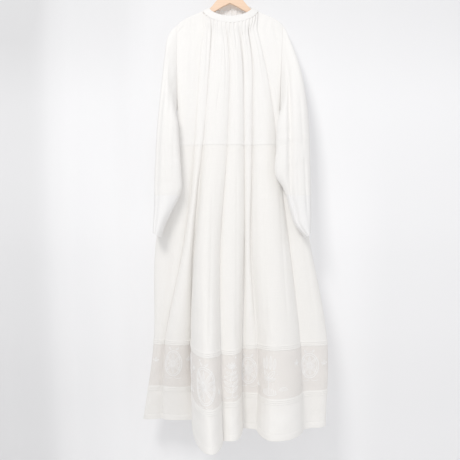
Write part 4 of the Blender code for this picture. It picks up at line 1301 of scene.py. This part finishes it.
# %% [markdown]
# ## Stitches
#
# Seams and hems on such a smock are sewn by machine or by a patient hand: a line of short stitches, each
# sunk a little into the cloth. One stitch is a small rounded bar. It is repeated along each line, and turned
# to lie in the cloth, so thousands of them cost little.

# %% Shape one stitch and repeat it
STITCH_PITCH = 3.4
STITCH_REACH = 1.25
STITCH_THICK = 0.3
STITCH_SIDES = 5
STITCH_RINGS = ((-1.0, 0.25), (-0.7, 0.9), (0.7, 0.9), (1.0, 0.25))
StitchLine = namedtuple("StitchLine", "cloth along down")


def sew(name, lines, material):
    """Repeat a stitch: rings of a bar along the line, across it and out of the cloth, closed at both ends."""
    turn = np.arange(STITCH_SIDES) * TAU / STITCH_SIDES
    points = []
    for line in lines:
        middle, normal = on_cloth(line.cloth, line.along, line.down)
        ahead = unit(np.gradient(middle, axis=0))
        side = unit(np.cross(ahead, normal))
        rings = [ahead[:, None] * (reach * STITCH_REACH)
                 + side[:, None] * (STITCH_THICK * swell * np.cos(turn))[None, :, None]
                 + normal[:, None] * (STITCH_THICK * (swell * np.sin(turn) + THREAD_LIFT))[None, :, None]
                 for reach, swell in STITCH_RINGS]
        points.append((middle[:, None, None] + np.stack(rings, axis=1)).reshape(-1, 3))
    points = np.concatenate(points)
    spot = np.arange(len(STITCH_RINGS) * STITCH_SIDES).reshape(-1, STITCH_SIDES)
    count = len(points) // spot.size
    beside = np.roll(spot, -1, axis=1)
    walls = np.stack((spot[:-1], spot[1:], beside[1:], beside[:-1]), axis=-1).reshape(-1, 4)
    first = (np.arange(count) * spot.size)[:, None, None]
    faces = (walls + first).reshape(-1, 4).tolist()
    faces += (spot[0] + first[:, 0]).tolist() + (spot[-1][::-1] + first[:, 0]).tolist()
    add_piece(name, points * MM, faces, material, "linen")
    print(name, count, "stitches,", count * (2 * len(walls) + 6), "triangles")


def across_line(cloth, down, inset=2.0):
    """Space stitches along a grid's rows, at one distance below its first row."""
    run = grid_map(cloth)[len(cloth) // 2, :, 0] / MM
    along = np.arange(run[0] + inset, run[-1] - inset, STITCH_PITCH)
    return StitchLine(cloth, along, np.full_like(along, down))


def down_line(cloth, along, start, end):
    """Space stitches down a grid, at one distance from its middle column."""
    down = np.arange(start, end, STITCH_PITCH)
    return StitchLine(cloth, np.full_like(down, along), down)


def sewing_thread(name, bright, shade):
    """Finish sewing thread: two plies wound round each other, painted shade between them, and uneven white."""
    finish = Finish(name, bright, 0.65, Sheen_Weight=0.15, Sheen_Roughness=0.4)
    vector = finish.own_place()
    x, y, z = finish.axes(vector)
    plies = (x + y * 0.6 + z * 0.8).wave(0.0006) * 0.5 + 0.5
    patches = finish.stretched_noise(vector, (250, 250, 250), 2.0)
    # The low parts of the plies are coloured darker: painted shade in the groove between them.
    finish.colour_by(patches * 0.6 + plies * 0.4, shade, bright)
    finish.bump(plies, 0.00006)
    finish.feed("Roughness", patches * 0.2 + 0.55)
    return finish.material


# %% Sew the seams and the hems
SEAM_STITCH = 1.8
EDGE_STITCH = 1.0
SHOULDER_STITCH = 2.6
CUFF_STITCH = 2.2
CUFF_HEM = 9.0
BACK_SEAM_STITCH = 1.9
BACK_SEAM = (62.0, 468.0)
BAND_STITCH = STITCH_INSET - 1
SEWING_THREAD = sewing_thread("sewing_thread", (0.93, 0.92, 0.90), (0.85, 0.84, 0.82))
BAND_FACE = BAND[:22]
upper_lines, fall_lines = [], []
for side in ("front", "back"):
    skirt_foot, hem_foot = fall_of(SKIRTS[side])[-1], fall_of(HEMS[side])[-1]
    fall_lines += [across_line(SKIRTS[side], down) for down in (SEAM_STITCH, skirt_foot - EDGE_STITCH)]
    fall_lines += [across_line(HEMS[side], down) for down in (EDGE_STITCH, hem_foot - HEM_TURN)]
for tube, split in SLEEVES.values():
    fallen = fall_of(tube)
    upper_lines += [across_line(tube, down) for down in (SHOULDER_STITCH, fallen[split] - CUFF_STITCH,
                                                         fallen[-1] - CUFF_HEM)]
upper_lines += [down_line(BACK_UPPER, side * BACK_SEAM_STITCH, *BACK_SEAM) for side in (-1, 1)]
band_foot = fall_of(BAND_FACE)[-1]
upper_lines += [across_line(BAND_FACE, down, 4.0) for down in (BAND_STITCH, band_foot - BAND_STITCH)]
sew("stitches_upper", upper_lines, SEWING_THREAD)
sew("stitches_fall", fall_lines, SEWING_THREAD)

# %% [markdown]
# ## Buttonhole and button thread
#
# The upper end of the band has a worked hole: close stitches all round a slit. The button over it is held by
# two crossed threads. Both are drawn flat and laid on, as the motifs were.

# %% Work the buttonhole and sew on the button
HOLE_LENGTH = 15.0
HOLE_HEIGHT = 3.6
HOLE_INSIDE = 1.6
BARS_AT = np.arange(-6.0, 6.1, 0.8)
BAR_FROM = 0.7
BAR_TO = 2.1
BAR_RADIUS = 0.28
LAST_COLUMNS = 25
CROSS_REACH = 1.5
CROSS_RISE = 0.45
CROSS_RADIUS = 0.42
button_low, button_high = (np.array(corner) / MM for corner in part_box("button"))
button_middle = (button_low + button_high) / 2
face_row = BAND_FACE[len(BAND_FACE) // 2]
from_button = np.linalg.norm(face_row[-LAST_COLUMNS:] - button_middle, axis=1)
nearest = len(face_row) - LAST_COLUMNS + int(np.argmin(from_button))
hole_along = grid_map(BAND_FACE)[len(BAND_FACE) // 2, nearest, 0] / MM
hole_down = band_foot / 2
bars = [oval(0, 0, HOLE_LENGTH, HOLE_HEIGHT, 0.5),
        oval(0, 0, HOLE_LENGTH - HOLE_INSIDE, HOLE_HEIGHT - HOLE_INSIDE, 0.35)]
for across in BARS_AT:
    for side in (-1, 1):
        bars.append(Curve(np.linspace((across, side * BAR_FROM), (across, side * BAR_TO), 4), BAR_RADIUS))
tubes = [thread_tube(*on_cloth(BAND_FACE, hole_along + bar.points[:, 0], hole_down - bar.points[:, 1]),
                     bar.radius) for bar in bars]
share = np.linspace(-1, 1, 9)
for slope in (-1, 1):
    line = np.stack([button_middle[0] + CROSS_REACH * share, button_high[1] + CROSS_RISE * (1 - share ** 4),
                     button_middle[2] + CROSS_REACH * slope * share], axis=1)
    tubes.append(thread_tube(line, np.broadcast_to((0.0, 1.0, 0.0), line.shape), CROSS_RADIUS))
join_tubes("buttonhole_and_thread", tubes, SEWING_THREAD, "linen")

# %% [markdown]
# ## Hanger and button
#
# The hanger's arms are pale beech under a thin varnish, with the grain along them. The hook is bright wire
# and the button is polished shell. Their solids are round enough to keep, so they only get finishes, which
# read each object's own coordinates.

# %% Finish the hanger and the button


def beech(name):
    """Finish varnished beech: grain drawn out along the arms, short dark flecks, and a thin clear coat."""
    finish = Finish(name, (0.80, 0.50, 0.30), 0.42, Coat_Weight=0.25, Coat_Roughness=0.3)
    vector = finish.own_place()
    grain = finish.stretched_noise(vector, (14, 160, 260), 4.0, 0.6)
    flecks = finish.stretched_noise(vector, (90, 700, 900), 2.0)
    finish.colour_by(grain * 0.9 + flecks * 0.35 - 0.12, (0.68, 0.37, 0.20), (0.88, 0.575, 0.355))
    finish.bump(grain * 0.5 + flecks * 0.5, 0.00025)
    finish.feed("Roughness", grain * 0.2 + 0.32)
    return finish.material


def bright_wire(name):
    """Finish drawn steel wire: fine marks along it and a few dull patches."""
    finish = Finish(name, (0.72, 0.72, 0.73), 0.25, Metallic=1.0)
    vector = finish.own_place()
    marks = finish.stretched_noise(vector, (900, 900, 120), 2.0)
    dull = finish.stretched_noise(vector, (60, 60, 60), 3.0)
    finish.colour_by(dull, (0.58, 0.58, 0.59), (0.78, 0.78, 0.79))
    finish.bump(marks, 0.00005)
    finish.feed("Roughness", marks * 0.15 + dull * 0.2 + 0.12)
    return finish.material


def shell(name):
    """Finish polished shell: soft bands of cream and grey under a hard shine."""
    finish = Finish(name, (0.86, 0.84, 0.79), 0.18, Coat_Weight=0.5, Coat_Roughness=0.05)
    bands = finish.stretched_noise(finish.own_place(), (260, 420, 90), 3.0, 0.6)
    finish.colour_by(bands, (0.74, 0.72, 0.70), (0.92, 0.89, 0.83))
    finish.bump(bands, 0.00004)
    finish.feed("Roughness", bands * 0.2 + 0.08)
    return finish.material


for node, finish in (("hanger_wood", beech("pale_beech")), ("hanger_hook", bright_wire("bright_wire")),
                     ("button", shell("polished_shell"))):
    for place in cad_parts[node].material_slots:
        place.material = finish
    print(node, "is", finish.name)

# %% [markdown]
# ## Camera, light and room
#
# The picture was taken from the front, level with the middle of the smock, in soft light from the left. A
# white curtain hangs close behind, so the smock's shadow falls on it as a soft edge. Only the camera sees it,
# and only from its front, so other views show the back well lit. Curtain and floor carry painted shade at the
# far left and high up, and painted light behind the skirt. The picture is bright and has little contrast,
# which the exposure and the gamma of the view repeat.

# %% Set the camera
CAMERA_BACK = 2.3
CAMERA_Z = -0.9135
LENS = 51.43
camera_data = bpy.data.cameras.new("camera")
camera_data.lens = LENS
camera_data.sensor_width = 36.0
camera = bpy.data.objects.new("camera", camera_data)
camera.location = (0.0, -CAMERA_BACK, CAMERA_Z)
camera.rotation_euler = (math.pi / 2, 0, 0)
bpy.context.scene.collection.objects.link(camera)
bpy.context.scene.camera = camera
print("camera", CAMERA_BACK, "m in front")

# %% Set the light and the room
CURTAIN_AT_Z = (-1.98, -1.65, -1.35, -0.95, -0.5, 0.0)
CURTAIN_AT_Y = (0.27, 0.22, 0.155, 0.09, 0.055, 0.05)
CURTAIN_FOLDS = ((0.004, 31, 0), (0.002, 53, 1), (0.003, 13, 0))
FOLDS_LEFT_OF = -0.28
FOLDS_FADE = 0.05
FOLDS_ELSEWHERE = 0.12
FLOOR_Z = -1.98
# Share of the room colour where its painted shade is darkest.
PAINTED_SHADE_DARKEST = 0.6
AIM = (0, 0, -0.9)


def room_finish(name, colour, camera_only):
    """Finish the room matt white, with painted shade far left and high up and painted light behind the skirt.
    """
    finish = Finish(name, colour, 0.9)
    x, _, z = finish.axes(finish.own_place())
    # Painted shade: darker at the far left, high up and towards the upper left, as if less light fell there.
    left = finish.smooth_step(x, -0.58, -0.74)
    high = finish.smooth_step(z, -0.55, 0.0)
    painted_shade_high_left = finish.smooth_step(x, -0.25, -0.45) * finish.smooth_step(z, -0.75, -0.2)
    # Painted light: lighter behind the lower part of the skirt.
    painted_light_near = finish.smooth_step(x, -0.55, -0.35) - finish.smooth_step(x, 0.40, 0.60)
    painted_light_near_low = painted_light_near * finish.smooth_step(z, -0.45, -1.0)
    bright = painted_light_near_low * 0.18 + 0.84 - left * 0.42 - high * 0.36 - painted_shade_high_left * 0.2
    finish.colour_by(bright, tuple(PAINTED_SHADE_DARKEST * part for part in colour), colour)
    if camera_only:
        behind = finish.number(finish.node("ShaderNodeNewGeometry"), "Backfacing")
        seen = finish.number(finish.node("ShaderNodeLightPath"), "Is Camera Ray")
        clear = finish.node("ShaderNodeBsdfTransparent")
        mix = finish.node("ShaderNodeMixShader", inputs={0: seen * (1 - behind), 1: clear.outputs[0],
                                                         2: finish.shader.outputs[0]})
        finish.link(mix.outputs[0], finish.tree.nodes["Material Output"].inputs["Surface"])
    return finish.material


def stage_grid(name, points, material):
    """Make a stage surface from a grid of points in metres."""
    add_mesh(name, points.reshape(-1, 3), grid_faces(*points.shape[:2]), material)


def hang_curtain():
    """Lay out a curtain that leans away towards its foot, with soft upright folds on the left."""
    x, z = np.meshgrid(np.linspace(-3, 3, 900), np.linspace(1.4, FLOOR_Z, 60))
    lean = np.interp(z, CURTAIN_AT_Z, CURTAIN_AT_Y)
    fade = 1 / (1 + np.exp((x - FOLDS_LEFT_OF) / FOLDS_FADE)) + FOLDS_ELSEWHERE
    folds = sum(size * np.sin(x * often + start) for size, often, start in CURTAIN_FOLDS)
    return np.stack([x, lean + folds * fade, z], axis=-1)


def area_light(name, position, target, size, power, colour):
    """Place a square soft light that faces a target."""
    data = bpy.data.lights.new(name, "AREA")
    data.shape = "SQUARE"
    data.size = size
    data.energy = power
    data.color = colour
    item = bpy.data.objects.new(name, data)
    item.location = position
    bpy.context.scene.collection.objects.link(item)
    way = Vector(position) - Vector(target)
    item.rotation_euler = way.to_track_quat("Z", "Y").to_euler()


stage_grid("curtain", hang_curtain(), room_finish("white_curtain", (0.93, 0.93, 0.945), True))
floor_x, floor_y = np.meshgrid(np.linspace(-4, 4, 3), np.linspace(4, -4, 3))
floor = np.stack([floor_x, floor_y, np.full_like(floor_x, FLOOR_Z)], axis=-1)
# The floor takes the same painted shade and painted light as the curtain.
stage_grid("floor", floor, room_finish("pale_floor", (0.71, 0.70, 0.69), False))
area_light("key", (-0.85, -2.6, 0.9), AIM, 0.8, 42.0, (1.0, 0.985, 0.96))
area_light("fill", (2.6, -2.4, -0.6), AIM, 2.6, 7.0, (1.0, 0.99, 0.98))
area_light("behind", (0.6, 2.8, 0.4), (0, 0, -0.8), 2.2, 26.0, (1.0, 1.0, 1.0))
world = bpy.data.worlds.new("studio")
world.use_nodes = True
background = world.node_tree.nodes["Background"]
background.inputs["Color"].default_value = (0.96, 0.97, 1.0, 1.0)
background.inputs["Strength"].default_value = 0.6
bpy.context.scene.world = world
view = bpy.context.scene.view_settings
view.view_transform = "Standard"
view.exposure = 0.19
view.gamma = 1.55
print("lights placed")
